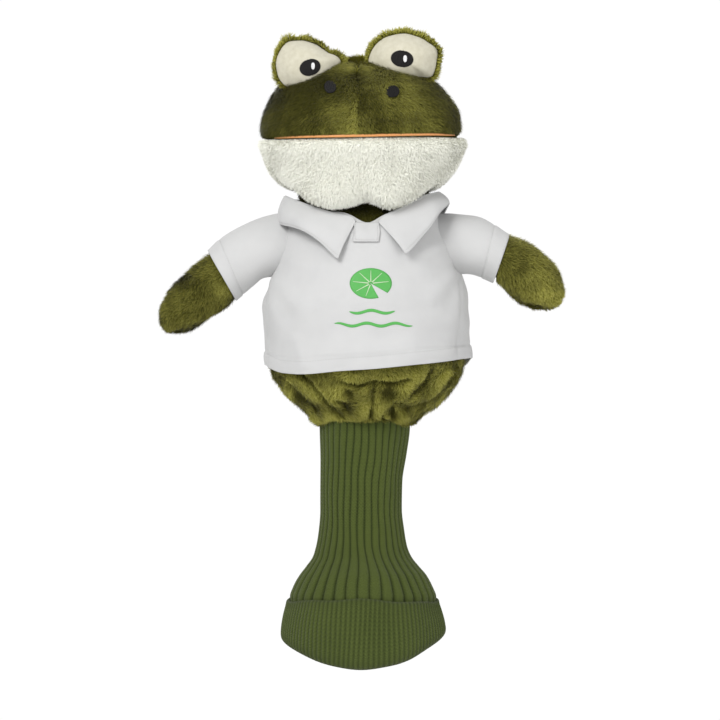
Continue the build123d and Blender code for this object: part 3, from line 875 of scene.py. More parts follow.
mouth = head[MOUTH_ROW] + out[MOUTH_ROW] * 4.0 * MM
front_columns = [i for i in range(head_columns) if mouth[i, 1] < 0 and -67 * MM < mouth[i, 0] < 68 * MM]
front_columns.sort(key=lambda i: mouth[i, 0])
lip_line = mouth[front_columns] + np.array([0, 0, 0.6 * MM])
share = np.linspace(-1, 1, len(lip_line))
lip_radius = 1.10 * MM * (0.35 + 0.65 * np.sqrt(1 - 0.98 * share**2))
lip = tube_along("lip", lip_line, lip_radius, 10, lip_thread)
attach(lip, "head")
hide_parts("mouth_piping")
print("lip points", len(lip_line))

# %% [markdown]
# ## Body plush
# The body is a plush bag gathered on to the sock. Only its bottom and its neck show, so pile grows there
# and the part under the shirt stays bare cloth, which keeps the model light. Folds from the gathering are
# pressed into the cloth before the pile grows, so the strands dip into them.

# %% Shape the body
columns = 200
angle = turns(columns, 0.5)
# level, half width and how far the ring's middle stands to the left
BODY_RINGS = (
    (3.0, 30.0, 1), (-1.5, 31.5, 1), (-3.4, 33.4, 1), (-3.0, 36.5, 1), (-0.6, 40.0, 1), (4, 46.5, 1),
    (10, 55, 2), (16, 61.5, 1.5), (22, 66, 2), (28, 70.5, 1.5), (34, 72.5, 2), (45, 73.5, 1.5), (70, 73, 0),
    (100, 70, 0), (125, 62, 0), (142, 53.5, 0), (150, 50, 0), (156, 42, 0), (158, 28, 0), (158.5, 12, 0),
)
body_knots = np.cumsum([0] + [2, 2, 3, 3, 5, 5, 5, 5, 5, 5, 5, 6, 6, 6, 6, 5, 4, 4, 3])
table = through(body_knots, BODY_RINGS, np.arange(body_knots[-1] + 1))
level, half, shift = table.T[..., None] * MM
deep_share = (body_high[1] - body_low[1]) / (body_high[0] - body_low[0])
inset = 2.6 * MM * ease(-4, 6, level / MM)
body = ring_points(
    shift + (half - inset) * np.cos(angle), (half - inset) * deep_share * np.sin(angle), level
)
lap = np.cos(2 * (angle + math.pi / 2)) * 1.4 + 0.9 * np.sin(5 * angle + 1.0)
body[..., 2] += lap * MM * ease(9, -3, level / MM)
out_body = grid_normals(body, True)
folds = np.zeros(body.shape[:2])
# each fold is a route in x and z, a width and a depth
for route, width, depth in (
    (((-48, 33), (-36, 20), (-26, 8), (-15, -4)), 2.3, 4.2),
    (((-15, 25.5), (-3, 23.5), (10, 26.5), (22, 24.5), (33, 27.5)), 1.9, 3.4),
    (((31, 4), (42, 8), (54, 12), (64, 19)), 2.4, 4.0),
    (((36, 15), (46, 23), (52, 33)), 2.2, 2.6),
    (((9, 24), (7, 14), (5, 2), (4, -6)), 2.0, 2.6),
    (((-62, 30), (-50, 17), (-38, 5)), 2.4, 2.4),
    (((19, 17), (21, 15)), 5.5, 3.4),
    (((-11, 17), (-9, 16)), 4.5, 2.6),
    (((-20, 12), (-12, 2)), 2.2, 2.0),
    (((24, 10), (20, 0), (19, -5)), 2.2, 2.2),
):
    body, mark = groove(body, out_body, route, width, depth)
    folds = np.maximum(folds, mark)
gather = np.cos(15 * angle + 1.3 * np.sin(3 * angle)) * ease(16, 6, level / MM) * ease(-5, 3, level / MM)
body += out_body * ((0.9 * gather + 1.0 * ripple(body, 0.028, 71)) * MM * ease(60, 40, level / MM))[..., None]
out_body = grid_normals(body, True)
body_pile = (1 - 0.45 * folds) * (0.9 + 0.15 * ripple(body, 0.012, 72))
body_values = {
    "comb": comb_along(body, out_body, (0, 0, -1), 1.1, 74),
    "pile": body_pile,
    # painted shade: the tone is darker in the folds and towards the top, under the collar and the chin
    "tone": (
        0.86 + 0.38 * ripple(body, 0.024, 77) + 0.18 * ripple(body, 0.009, 78)
        - 0.95 * folds - 1.2 * ease(130, 142, level / MM)
    ),
}
row_level = (level[:-1, 0] / MM)[:, None]
back_half = np.sin(angle + math.pi / columns) > 0
bare = (row_level > 47) & (row_level < 139)
print("body rows", body.shape[0], "columns", columns)

# %% [markdown]
# Each half of the body is one cloth. Its pile grows from a copy that holds only the faces that show, and
# the copy is removed afterwards. The same helper serves the neck and the arms.

# %% Make the body cloths
def plush_cloth(
    name, points, keep, hairy, values, body_name, seed, replaced,
    density=2.8e6, caps=(False, False), bend=None,
):
    """A plush cloth with pile on the faces that show. Given bend, the cloth is left unattached with its
    transform applied.
    """
    full = np.broadcast_to(keep, (points.shape[0] - 1, points.shape[1]))
    skin = grid_piece(name + "_cloth", points, True, caps, full, values)
    fur_base = grid_piece(name + "_base", points, True, caps, full & hairy, values)
    pile = grow(fur_base, name + "_pile", green_tree, seed,
                Density=density, Length=5.0 * MM, Width=0.66 * MM, Lean=0.62, Stray=0.5)
    bpy.data.objects.remove(fur_base)
    skin.data.materials.append(green_backing)
    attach(pile, body_name)
    if bend:
        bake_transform(skin)
    else:
        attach(skin, body_name)
    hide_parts(*replaced)
    return skin


plush_cloth("body_front", body, ~back_half[None, :], ~bare, body_values, "torso", 111,
            ("body_front_panel", "pocket_padding_front", "chest_stuffing"))
plush_cloth("body_back", body, back_half[None, :], ~bare, body_values, "torso", 112,
            ("body_back_panel", "pocket_padding_back"), 2.2e6)

# %% [markdown]
# The neck is a short plush tube in shadow between the collar and the chin. Little of it shows, so it could
# be left out, but the head turns and nods over it. It is a bulged ring with sparse pile, painted darker than
# the other plush as painted shade.

# %% Neck plush
neck_rings = ((157.6, 30), (160, 40), (164, 44), (170, 43), (176, 39), (184, 30))
NECK_WIDE, NECK_DEEP = 1.09, 0.84
level, half = through((0, 4, 9, 15, 20, 25), neck_rings, np.arange(26)).T[..., None] * MM
neck = ring_points(half * np.cos(angle) * NECK_WIDE, half * NECK_DEEP * np.sin(angle), level)
neck_out = grid_normals(neck, True)
neck_values = {
    "comb": comb_along(neck, neck_out, (0, 0, -1), 0.9, 84),
    "pile": 0.7 + 0 * neck[..., 0],
    # painted shade: a low tone that darkens the neck where it lies in shadow
    "tone": -0.1 + 0.2 * ripple(neck, 0.012, 87),
}
plush_cloth("neck", neck, np.ones((1, columns), bool), True, neck_values, "neck", 113,
            ("neck_tube", "neck_stuffing"), 1.5e6)

# %% [markdown]
# The lining is the slippery bag that the club head slides into, so it is thin, smooth and dark. A plain
# domed tube of rings is enough, with shallow puckers where it hangs loose from the wadding.

# %% Pocket lining
LINING_RINGS = ((0.5, 30.5), (12, 45), (30, 59), (56, 62.5), (80, 60), (98, 51), (109, 31))
LINING_DEEP = 0.826
level, half = through((0, 6, 14, 24, 34, 42, 48), LINING_RINGS, np.arange(49)).T[..., None] * MM
lining = ring_points(half * np.cos(angle), half * LINING_DEEP * np.sin(angle), level)
lining += grid_normals(lining, True) * (0.6 * MM * ripple(lining, 0.020, 91) - 0.8 * MM)[..., None]
lining_piece = thicken(grid_piece("lining", lining, True, (False, True)), 0.6 * MM)
lining_piece.data.materials.append(
    tinted("lining_cloth", (0.020, 0.024, 0.012), (0.034, 0.040, 0.022), 400.0, 3.0, 0.8, 0.2)[0]
)
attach(lining_piece, "torso")
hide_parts("pocket_lining")
print("lining rows", lining.shape[0])

# %% [markdown]
# ## Arms and sleeves
# An arm is set out by the two lines that bound it from the front, top and bottom. Each ring of points spans
# the two lines, so the arm bends and tapers as those lines do. The sleeve is made the same way and is
# looser.

# %% Tubes between two lines


def between(tops, bottoms, depths, steps, sides):
    """Rings that span a top and a bottom line, both in x and z millimetres, with a half depth for each."""
    at = np.linspace(0, len(tops) - 1, steps)
    knots = np.arange(len(tops))
    top = through(knots, tops, at)
    bottom = through(knots, bottoms, at)
    depth = through(knots, depths, at)
    middle = (top + bottom) / 2
    half = (top - bottom) / 2
    turn = np.linspace(0, 2 * math.pi, sides, endpoint=False)
    x = middle[:, :1] + half[:, :1] * np.sin(turn)
    z = middle[:, 1:] + half[:, 1:] * np.sin(turn)
    y = depth[:, None] * np.cos(turn) + 0 * x
    return np.stack([x, y, z], -1) * MM


def outward(points):
    """Turns a tube's columns round if its normals point in."""
    middle = points.mean(1, keepdims=True)
    inside = ((points - middle) * grid_normals(points, True)).sum() < 0
    return points[:, ::-1] if inside else points


# two points for each arm, passed as bend; plush_cloth reads only whether they are given
SLEEVE_BEND = {
    "left": ((0.064, 0, 0.127), (0.090, 0, 0.122)),
    "right": ((-0.064, 0, 0.126), (-0.092, 0, 0.112)),
}


def arm(name, tops, bottoms, depths, hem_at, seed, shade):
    """A plush arm whose pile starts past ring hem_at, where the sleeve ends."""
    shape = outward(between(tops, bottoms, depths, 64, 96))
    normal = grid_normals(shape, True)
    shape = shape - normal * 2.6 * MM + normal * (0.7 * MM * ripple(shape, 0.026, seed))[..., None]
    normal = grid_normals(shape, True)
    way = np.gradient(shape.mean(1), axis=0)[:, None] + 0 * shape
    way /= np.linalg.norm(way, axis=-1, keepdims=True)
    values = {
        "comb": comb_along(shape, normal, way + np.array([0, 0, -0.5]), 0.8, seed + 2),
        "pile": 0.95 + 0.08 * ripple(shape, 0.012, seed + 3),
        # the base tone is set for each arm as painted light and shade, one arm lighter than the other
        "tone": shade + 0.30 * ripple(shape, 0.034, seed + 4) + 0.12 * ripple(shape, 0.010, seed + 7),
    }
    hairy = (np.arange(63) > hem_at)[:, None]
    plush_cloth(name + "_arm", shape, np.ones((1, 96), bool), hairy, values, name + "_arm", seed,
                (name + "_arm_shell", name + "_arm_stuffing"), 3.0e6, (True, True), SLEEVE_BEND[name])


# the last number is the arm's base tone: painted light on this arm, painted shade on the next
arm(
    "left",
    (
        (60, 146), (82, 144), (100, 138), (117, 132.5), (130, 125), (141, 115.5), (147.5, 104.5), (149.6, 95),
        (149.8, 91.5),
    ),
    (
        (62, 110), (80, 109), (94, 103.5), (106, 92.5), (117, 83.5), (129, 79.5), (138, 79.0), (146, 82.5),
        (149.4, 89),
    ),
    (18, 18, 18.5, 20, 20.5, 19.5, 17, 10, 2.5), 17, 121, 0.58,
)
arm(
    "right",
    (
        (-60, 146), (-84, 141), (-104, 130), (-120, 118), (-135, 106), (-148, 91), (-153.6, 78), (-153.6, 70),
        (-152, 66.5),
    ),
    (
        (-62, 108), (-74, 105), (-87, 96), (-101, 82.5), (-113, 73.5), (-124, 66.5), (-136, 61.5),
        (-146.5, 62), (-150.5, 64.5),
    ),
    (18, 18, 18.5, 20, 20, 18.5, 14.5, 8, 2.5), 19, 122, 0.30,
)

# %% [markdown]
# ## Shirt
# The shirt is thin jersey. Its ease is small, so it lies on the body and shows only soft drag folds from
# the arms and a hem that dips on one side. The jersey's own ribs are far too fine to mesh and go in the
# bump.

# %% Jersey
WALE_PITCH, COURSE_PITCH = 0.9 * MM, 0.8 * MM
jersey, jersey_tree, jersey_shader = tinted(
    "shirt_jersey", (0.50, 0.50, 0.50), (0.545, 0.545, 0.54), 60.0, 2.0, 0.85, 0.1, 0.15
)
spot = node(jersey_tree, "ShaderNodeSeparateXYZ", None, {0: place(jersey_tree)})
calc = calculator(jersey_tree)
wale = calc("SINE", calc("MULTIPLY", spot["X"], 2 * math.pi / WALE_PITCH))
course = calc("SINE", calc("MULTIPLY", spot["Z"], 2 * math.pi / COURSE_PITCH))
weave = calc("ADD", calc("MULTIPLY", wale, course), noise(jersey_tree, 1500.0, 2.0))
bump(jersey_tree, jersey_shader, weave, 0.0001, 0.35)

print("jersey", jersey.name)

# %% [markdown]
# The shirt's shape is rings like the body's, a little wider, with a hem line that dips on one side and a
# neckline that opens in front.

# %% Shape the shirt
shirt_low, shirt_high = span("shirt_front", "shirt_back")
# level, half width and how far the ring's middle stands to the left
SHIRT_RINGS = (
    (35, 78.2, 3.5), (40, 78.5, 3.2), (48, 77.8, 3.0), (60, 77.2, 2.5), (70, 77.6, 2), (82, 77.3, 0.75),
    (94, 75.0, 1.5), (103, 72.0, 1.5), (112, 68.8, 1), (121, 66.5, 1), (130, 64.2, 1), (141, 60.6, 0),
    (148, 57.5, 0), (151.5, 55.5, 0),
)
SHIRT_ROWS = 92


def evenly(rings, rows):
    """Rings spread over a number of rows as evenly as whole rows allow."""
    table = through(np.round(np.linspace(0, rows - 1, len(rings))), rings, np.arange(rows))
    return table.T[..., None]


level, half, shift = evenly(SHIRT_RINGS, SHIRT_ROWS) * MM
shirt_share = (shirt_high[1] - shirt_low[1]) / (shirt_high[0] - shirt_low[0])
shirt = ring_points(shift + half * np.cos(angle), half * shirt_share * np.sin(angle), level)
hem_x = (-78, -60, -45, -20, 7, 35, 60, 82)
hem_z = (39.5, 31.5, 30.8, 32.8, 34.6, 37.4, 40.0, 43.0)
hem_front = through(hem_x, hem_z, shirt[..., 0] / MM)
hem = np.where(np.sin(angle) < 0, hem_front, 36 + (hem_front - 36) * ease(0.5, 0.0, np.sin(angle)))
fade = ease(75, 35, level / MM)
shirt[..., 2] += (hem - 35) * MM * fade
open_neck = bell(shirt[..., 0] / MM - 2.2, 11.0) * (np.sin(angle) < 0)
shirt[..., 2] -= 8.5 * MM * open_neck * ease(132, 151, level / MM)
out_shirt = grid_normals(shirt, True)
print("shirt rows", shirt.shape[0], "columns", columns)

# %% [markdown]
# Soft folds run from the armholes towards the hem, where the arms pull the cloth. They could come from a
# cloth simulation. Here each fold is a raised line with a start, an end, a width and a height, so that it
# can be put where it lies.

# %% Fold the shirt
def drag(points, start, end, width, height):
    """A soft raised fold that runs from start to end and fades at both, in x and z millimetres."""
    flat = points[..., [0, 2]] / MM
    a, b = np.array(start, float), np.array(end, float)
    t = ((flat - a) @ (b - a)) / ((b - a) @ (b - a))
    off = np.linalg.norm(flat - a - np.clip(t, 0, 1)[..., None] * (b - a), axis=-1)
    wide = width * (0.55 + 0.75 * np.clip(t, 0, 1))
    return height * bell(off, wide) * np.sin(np.clip(t, 0, 1) * math.pi) ** 0.6


front = ease(0.05, 0.5, -out_shirt[..., 1])
lift = np.zeros(front.shape)
FOLD_STRENGTH = 1.35
for start, end, width, height in (
    ((-72, 104), (-40, 74), 7.0, 1.6), ((-73, 96), (-58, 52), 6.5, 1.5), ((-66, 120), (-30, 108), 6.0, 0.8),
    ((70, 108), (44, 82), 7.0, 1.4), ((73, 100), (66, 54), 7.0, 1.7), ((62, 128), (34, 118), 6.0, 0.9),
    ((-30, 78), (-20, 36), 9.0, 0.8), ((30, 76), (40, 40), 9.0, 0.9), ((-52, 62), (-44, 34), 5.0, 1.0),
    ((0, 146), (-8, 122), 5.0, 0.6), ((-46, 44), (40, 52), 5.0, 0.5),
):
    lift += FOLD_STRENGTH * drag(shirt, start, end, width, height) * front
lift += 1.1 * ripple(shirt, 0.060, 201) + 0.4 * ripple(shirt, 0.026, 202)
lift += 0.5 * np.cos(9 * angle + 0.7) * ease(60, 36, level / MM)
hem_above = (shirt[..., 2] - (hem * MM)) / MM
lift += 0.45 * ease(10.5, 9.5, hem_above) - 0.5 * bell(hem_above - 10.3, 1.0)
# the two armhole seams are pressed in, as heights and the x of the seam there
for heights, seam_at in (
    ((100, 111, 130, 141, 150), (-73, -67.5, -62, -61, -58)),
    ((104, 112, 129.5, 138.5, 146), (71, 68, 67, 66, 58)),
):
    lift -= 1.1 * bell(shirt[..., 0] / MM - through(heights, seam_at, shirt[..., 2] / MM), 1.6)
shirt += out_shirt * (lift * MM)[..., None]
print("shirt folds up to", round(float(lift.max()), 2), "mm")

# %% [markdown]
# Front and back are cut along the side seams and given the thickness of jersey, and the front is topstitched
# above the hem.

# %% Make the shirt panels
def shirt_panel(name, keep, node_name):
    """The front or the back of the shirt."""
    keep = np.broadcast_to(keep, (SHIRT_ROWS - 1, columns))
    panel = thicken(grid_piece(name, shirt, True, keep=keep), 0.9 * MM)
    panel.data.materials.append(jersey)
    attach(panel, "torso")
    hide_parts(node_name)
    return panel


shirt_front = shirt_panel("shirt_front_cloth", ~back_half[None, :], "shirt_front")
shirt_panel("shirt_back_cloth", back_half[None, :], "shirt_back")
shirt_lookup = tree_of(shirt_front)
HEM_DEPTH = 9.4
hem_lay = []
for x in np.linspace(-73, 76, 90):
    spot, _ = from_front(shirt_lookup, x * MM, (through(hem_x, hem_z, x) + HEM_DEPTH) * MM, 0.1 * MM)
    if spot is not None:
        hem_lay.append(spot)
stitch_line("hem_stitches", hem_lay, 0.38 * MM, 2.1 * MM, "torso")
print("hem stitch guide", len(hem_lay), "points")

# %% [markdown]
# A sleeve is a wide short tube over the arm with a stitched hem. It could be simulated too. Here its three
# soft folds are a wave round the tube that dies out at both ends, which leaves the root and the hem where
# they are.

# %% Sleeves
SLEEVE_ROWS, SLEEVE_SIDES = 56, 120


def sleeve(name, tops, bottoms, depths, seed, stitch_at):
    """A sleeve with a hem stitched at the share stitch_at of its length."""
    shape = outward(between(tops, bottoms, depths, SLEEVE_ROWS, SLEEVE_SIDES))
    normal = grid_normals(shape, True)
    along = np.linspace(0, 1, SLEEVE_ROWS)[:, None]
    turn = np.linspace(0, 2 * math.pi, SLEEVE_SIDES)
    relief = 0.7 * ripple(shape * np.array([0.6, 1, 1]), 0.034, seed)
    relief += 1.1 * np.cos(3 * turn + 4 * along + seed) * np.sin(math.pi * along) ** 2 * 0.7
    relief += 0.4 * ease(stitch_at - 0.005, stitch_at + 0.01, along) - 0.5 * bell(along - stitch_at, 0.012)
    shape = shape + normal * (relief * MM)[..., None]
    hem_row = int(stitch_at * (SLEEVE_ROWS - 1))
    ring = shape[hem_row] + normal[hem_row] * 0.2 * MM
    ring = np.vstack([ring, ring[:1]])
    stitch_line(name + "_sleeve_stitches", ring, 0.36 * MM, 2.0 * MM, name + "_arm")
    piece = thicken(grid_piece(name + "_sleeve_cloth", shape, True), 1.0 * MM)
    piece.data.materials.append(jersey)
    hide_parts(name + "_sleeve")
    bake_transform(piece)
    print(piece.name, "hem row", hem_row)


sleeve(
    "right",
    ((-54, 151), (-62, 151), (-74, 148.5), (-90, 142.5), (-106.5, 133.5), (-117.4, 123.5)),
    ((-56, 104), (-66, 103), (-75, 101.5), (-82, 96.5), (-89, 91), (-95.5, 85.5)),
    (24, 24.2, 24, 23, 22.3, 22), 211, 0.84,
)
sleeve(
    "left",
    ((54, 151), (62, 151), (74, 149.5), (86, 147.5), (98, 142.5), (109.5, 135.5)),
    ((56, 106), (66, 105), (73, 106), (80, 105.5), (88, 103.5), (97.2, 99.8)),
    (24, 24.2, 23.5, 22.5, 21.5, 20.5), 212, 0.80,
)

# %% [markdown]
# ## Collar, placket and print
# A shirt collar is a stand that goes up round the neck and a fall that folds over it. The fall is one grid:
# its top row is the fold, its bottom row is the free edge with the two points in front, and the rows
# between bow outwards a little as folded cloth does. Points in front are pushed clear of the shirt.

# %% Make the collar
collar_u = (0.0, 0.035, 0.10, 0.19, 0.28, 0.36, 0.50, 0.64, 0.72, 0.81, 0.90, 0.965, 1.0)
fold_line = (
    (-6.3, -48, 143.6), (-8.8, -48.5, 146.6), (-25, -46, 150.4), (-46, -35, 157.3), (-59.5, -14, 163),
    (-57, 12, 161.5), (0, 40, 158.5), (52, 16, 161.5), (57.5, -10, 166), (47, -33, 163.5), (25, -46, 152.4),
    (13.6, -48.5, 146.6), (10.9, -48, 143.3),
)
free_edge = (
    (-19.5, -60, 116.5), (-20.8, -60, 116.8), (-33, -56, 129), (-46, -50, 137.5), (-62, -18, 142.5),
    (-64, 14, 144), (0, 54, 140), (60, 20, 150), (63, -14, 157.5), (56, -40, 149.5), (42, -52, 131),
    (31.8, -58, 120.6), (30.5, -58, 120.3),
)
u = np.linspace(0, 1, 161)
fold = through(collar_u, fold_line, u)
edge = through(collar_u, free_edge, u)
down = np.linspace(0, 1, 22)[:, None, None]
collar = fold + (edge - fold) * down
middle = np.array([0, 0, 140.0])
flare = collar - middle
flare[..., 2] = 0
flare /= np.linalg.norm(flare, axis=-1, keepdims=True)
bow = np.sin(math.pi * np.clip(down[..., 0] * 1.05, 0, 1)) ** 0.7
collar += flare * (2.4 * bow)[..., None]
collar += flare * (0.5 * ripple(collar * MM, 0.020, 220))[..., None]
collar *= MM
for i in np.ndindex(collar.shape[:2]):
    x, y, z = collar[i]
    if y < -6 * MM:
        spot, _ = from_front(shirt_lookup, x, z, 1.5 * MM)
        if spot is not None and y > spot[1]:
            collar[i][1] = spot[1]
rolled = collar[:1] + np.array([[[0, 0, 0.9 * MM]]])
inner = []
for inward, lower in ((1.2, -0.6), (2.4, 1.2), (2.9, 5.0), (2.9, 9.0), (2.6, 12.5)):
    inner.append(collar[0] - flare[0] * inward * MM - np.array([0, 0, lower * MM]))
stand = np.array(inner[::-1] + [rolled[0] - flare[0] * 0.4 * MM])
fall = np.concatenate([rolled, collar])[::-1]
for name, points, nodes, flat, thickness in (
    ("collar_fall_cloth", fall, "collar_fall", (0.345, 0.030), 1.3 * MM),
    ("collar_stand_cloth", stand, "collar_stand", (0.310, 0.015), 1.0 * MM),
):
    if (grid_normals(points, False) * (points - points.mean((0, 1)))).sum() < 0:
        points = points[:, ::-1]
    piece = thicken(grid_piece(name, points, False), thickness, 0.0)
    piece.data.materials.append(jersey)
    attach(piece, "torso")
    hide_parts(nodes)
edge_lay = collar[-3] + flare[-3] * 0.8 * MM
stitch_line("collar_stitches", edge_lay[2:-2], 0.34 * MM, 2.0 * MM, "torso")
print("collar grid", collar.shape[:2])

# %% [markdown]
# The placket is a small doubled strip of jersey sewn under the opening. A second grid laid on the shirt by
# rays keeps it close to the cloth below, and the same helper lays the printed films later.

# %% Placket


def patch_on(name, cloth, x_at, z_at, proud, thickness, material):
    """A small piece of cloth laid on the shirt front, given as rows of x and z in millimetres."""
    points = np.zeros(x_at.shape + (3,))
    for i in np.ndindex(x_at.shape):
        spot, _ = from_front(cloth, x_at[i] * MM, z_at[i] * MM, proud)
        points[i] = spot if spot is not None else points[i - np.array((0, 1))]
    piece = thicken(grid_piece(name, points, False), thickness, 0.0)
    piece.data.materials.append(material)
    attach(piece, "torso")
    return piece


PLACKET_SIDES, PLACKET_HEIGHTS = (-7.5, 11.2), (128.9, 142.8)
across, up = np.meshgrid(np.linspace(*PLACKET_SIDES, 22), np.linspace(*PLACKET_HEIGHTS, 18))
across = across + 0.5 * np.sin(up / 3.0)
placket = patch_on("placket_cloth", shirt_lookup, across, up, 1.0 * MM, 1.0 * MM, jersey)
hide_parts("placket")
corner = [(-6.3, 141.5), (-6.3, 130.3), (10, 130.3), (10, 141.5)]
lay = []
for (xa, za), (xb, zb) in zip(corner, corner[1:]):
    for t in np.linspace(0, 1, 14):
        spot, _ = from_front(shirt_lookup, (xa + (xb - xa) * t) * MM, (za + (zb - za) * t) * MM, 1.7 * MM)
        lay.append(spot)
stitch_line("placket_stitches", lay, 0.34 * MM, 1.9 * MM, "torso")
print("placket grid", across.shape)

# %% [markdown]
# The printed motif is generic: a round floating leaf with its veins, and two ripples of water under it.
# Each shape is a thin film that follows the shirt's folds.

# %% Print the chest


def film(name, x_at, z_at, material, proud=0.12):
    """One inked shape on the shirt, proud of it in millimetres."""
    piece = patch_on(name, shirt_lookup, np.array(x_at), np.array(z_at), proud * MM, 0.1 * MM, material)
    return piece


def ink(name, low, high):
    return tinted(name, low, high, 700.0, 3.0, 0.55, 0.0, 0.3)[0]


leaf_ink = ink("leaf_ink", (0.07, 0.33, 0.07), (0.10, 0.39, 0.09))
vein_ink = ink("vein_ink", (0.42, 0.56, 0.36), (0.48, 0.60, 0.40))
turn = np.linspace(math.radians(-38), math.radians(292), 72)
ring = np.linspace(0.02, 1, 10)[:, None]
LEAF_X, LEAF_Z, LEAF_WIDE, LEAF_TALL, VEIN_HALF = 5.0, 98.0, 15.6, 11.4, 0.35
x = LEAF_X + LEAF_WIDE * ring * np.cos(turn)
leaf = film("print_leaf", x, LEAF_Z + LEAF_TALL * ring * np.sin(turn), leaf_ink, 0.14)
side = np.linspace(-1, 1, 5)
reach = np.linspace(0.10, 0.86, 16)[:, None]
for k, way in enumerate(np.radians((8, 52, 90, 128, 172, 216, 254))):
    x = LEAF_X + LEAF_WIDE * reach * math.cos(way) - VEIN_HALF * side * math.sin(way) * (1.3 - reach)
    z = LEAF_Z + LEAF_TALL * reach * math.sin(way) + VEIN_HALF * side * math.cos(way) * (1.3 - reach)
    film(f"print_vein_{k + 1}", x, z, vein_ink, 0.30)
for k, (low, reach, mid) in enumerate(((77.0, 17.0, 6.0), (67.5, 29.0, 7.0))):
    x = np.linspace(mid - reach, mid + reach, 80)[None, :]
    z = low + 1.1 * np.sin(x / 3.4 + k)
    thick = 1.15 * np.sqrt(np.clip(1 - ((x - mid) / reach) ** 4, 0.01, 1))
    film(f"print_ripple_{k + 1}", x + 0 * side[:, None], z + thick * side[:, None], leaf_ink)
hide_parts("chest_print")

# %% [markdown]
# ## Knitted sock and cuff
# Ribs are what makes knitwear read as knit. A long rib is a wave round the tube, so its shape follows one
# rule and costs few points. The sock has thirty-six coarse ribs that spread with the flare, and the
# turned-up cuff has a hundred fine ones. Each stitch is a small V, too fine to mesh, so the V is drawn from
# the cloth's own map in bump. Rib grooves and the gaps between the Vs are also painted darker as painted
# shade.


# %% Knit material
def knit_material(name, low, high, stitches_round, stitches_up, strength):
    material, tree, shader = surface(name, 0.9, 0.08, 0.1)
    chart = node(tree, "ShaderNodeUVMap", {"uv_map": "Cloth"})[0]
    at = node(tree, "ShaderNodeSeparateXYZ", None, {0: chart})
    calc = calculator(tree)
    column = calc("MULTIPLY", at["X"], stitches_round)
    leg = calc("ABSOLUTE", calc("SUBTRACT", calc("FRACT", column), 0.5))
    height = calc("ADD", calc("MULTIPLY", at["Y"], stitches_up), calc("MULTIPLY", leg, 1.4))
    loop = calc("ABSOLUTE", calc("SINE", calc("MULTIPLY", height, math.pi)))
    between_legs = calc("MULTIPLY", calc("POWER", calc("MULTIPLY", leg, 2.0), 0.5), 0.6)
    fuzz = calc("MULTIPLY", noise(tree, 1800.0, 2.0), 0.8)
    bump(tree, shader, calc("ADD", calc("ADD", loop, between_legs), fuzz), 0.0005, strength)
    # painted shade: the colour is lighter on rib crests and darker in rib grooves and between stitch loops,
    # with random mottle
    rise = node(tree, "ShaderNodeAttribute", {"attribute_name": "rib"})
    crest = calc("MULTIPLY", rise["Fac"], 0.75)
    loop_shade = calc("MULTIPLY", loop, 0.18)
    shade = calc("ADD", calc("ADD", crest, loop_shade), calc("MULTIPLY", noise(tree, 220.0), 0.25), True)
    tree.links.new(mix(tree, "MIX", shade, low, high), shader.inputs["Base Color"])
    return material


sock_knit = knit_material("sock_knit", (0.012, 0.019, 0.0035), (0.066, 0.086, 0.019), 72.0, 90.0, 0.7)
cuff_knit = knit_material("cuff_knit", (0.024, 0.034, 0.007), (0.068, 0.088, 0.021), 100.0, 34.0, 0.7)
print("knit materials", sock_knit.name, cuff_knit.name)

# %% [markdown]
# The sock is one tube that narrows round the shaft, and its ribs open where the flare stretches it. Each
# rib sways a little on the way down, so that the lines do not look ruled.

# %% Make the sock
ribs = 36
columns = ribs * 8
angle = turns(columns)
# level, half width, half depth and how far the ring's middle stands to the left
SOCK_RINGS = (
    (-141, 54.5, 44.2, -0.8), (-136, 54.6, 44.0, -0.8), (-128, 51.8, 41.5, -0.8), (-120, 47.5, 37.8, -0.6),
    (-113, 42.0, 33.0, -1), (-106, 37.0, 29.0, -1.5), (-98, 34.2, 26.6, -2), (-86, 32.2, 25.0, -2),
    (-70, 30.8, 24.0, -2.2), (-50, 30.8, 24.0, -2), (-30, 32.0, 25.0, -0.5), (-12, 33.4, 26.2, 0.6),
    (3, 34.0, 26.9, 1),
)
level, half, deep, shift = evenly(SOCK_RINGS, 131) * MM
wave = np.abs(np.cos(ribs * angle / 2))
rib = np.clip((1 - (1 - wave) ** 1.6) * 1.25, 0, 1)
ribbed = rib[None, :] * np.ones_like(level)
coarse = 1.25 * MM * (0.8 + 0.7 * ease(-90, -125, level / MM))
sway = 0.012 * np.sin(level / MM / 17.0 + 2 * angle) + 0.010 * np.sin(level / MM / 7.0 + 5 * angle)
turned = angle + sway
sock = ring_points(
    shift + (half - coarse * (1 - ribbed)) * np.cos(turned),
    (deep - coarse * (1 - ribbed)) * np.sin(turned),
    level,
)
sock += grid_normals(sock, True) * (0.45 * MM * ripple(sock * np.array([1, 1, 0.3]), 0.030, 401))[..., None]
# the rib heights also set painted shade in the knit's colour, darker in the grooves
sock_piece = thicken(grid_piece("sock_knit_tube", sock, True, values={"rib": ribbed}), 1.5 * MM)
sock_piece.data.materials.append(sock_knit)
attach(sock_piece, "torso")
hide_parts("sock_tube")
print("sock rows", sock.shape[0], "ribs", ribs)

# %% [markdown]
# The cuff is the sock's finer end turned up on itself, so it has an outer and an inner layer that meet at
# an arched rim. One folded tube would also do, but two grids let each layer keep its own ribs and
# thickness.

# %% Make the cuff
fine = 100
columns = fine * 6
angle = turns(columns)
RIM_ARC, RIM_LEVEL = 95.6, -189.0
FINE_DEEP, INNER_DEEP = 0.55 * MM, 0.4 * MM
CUFF_LEAN = -0.5 * MM
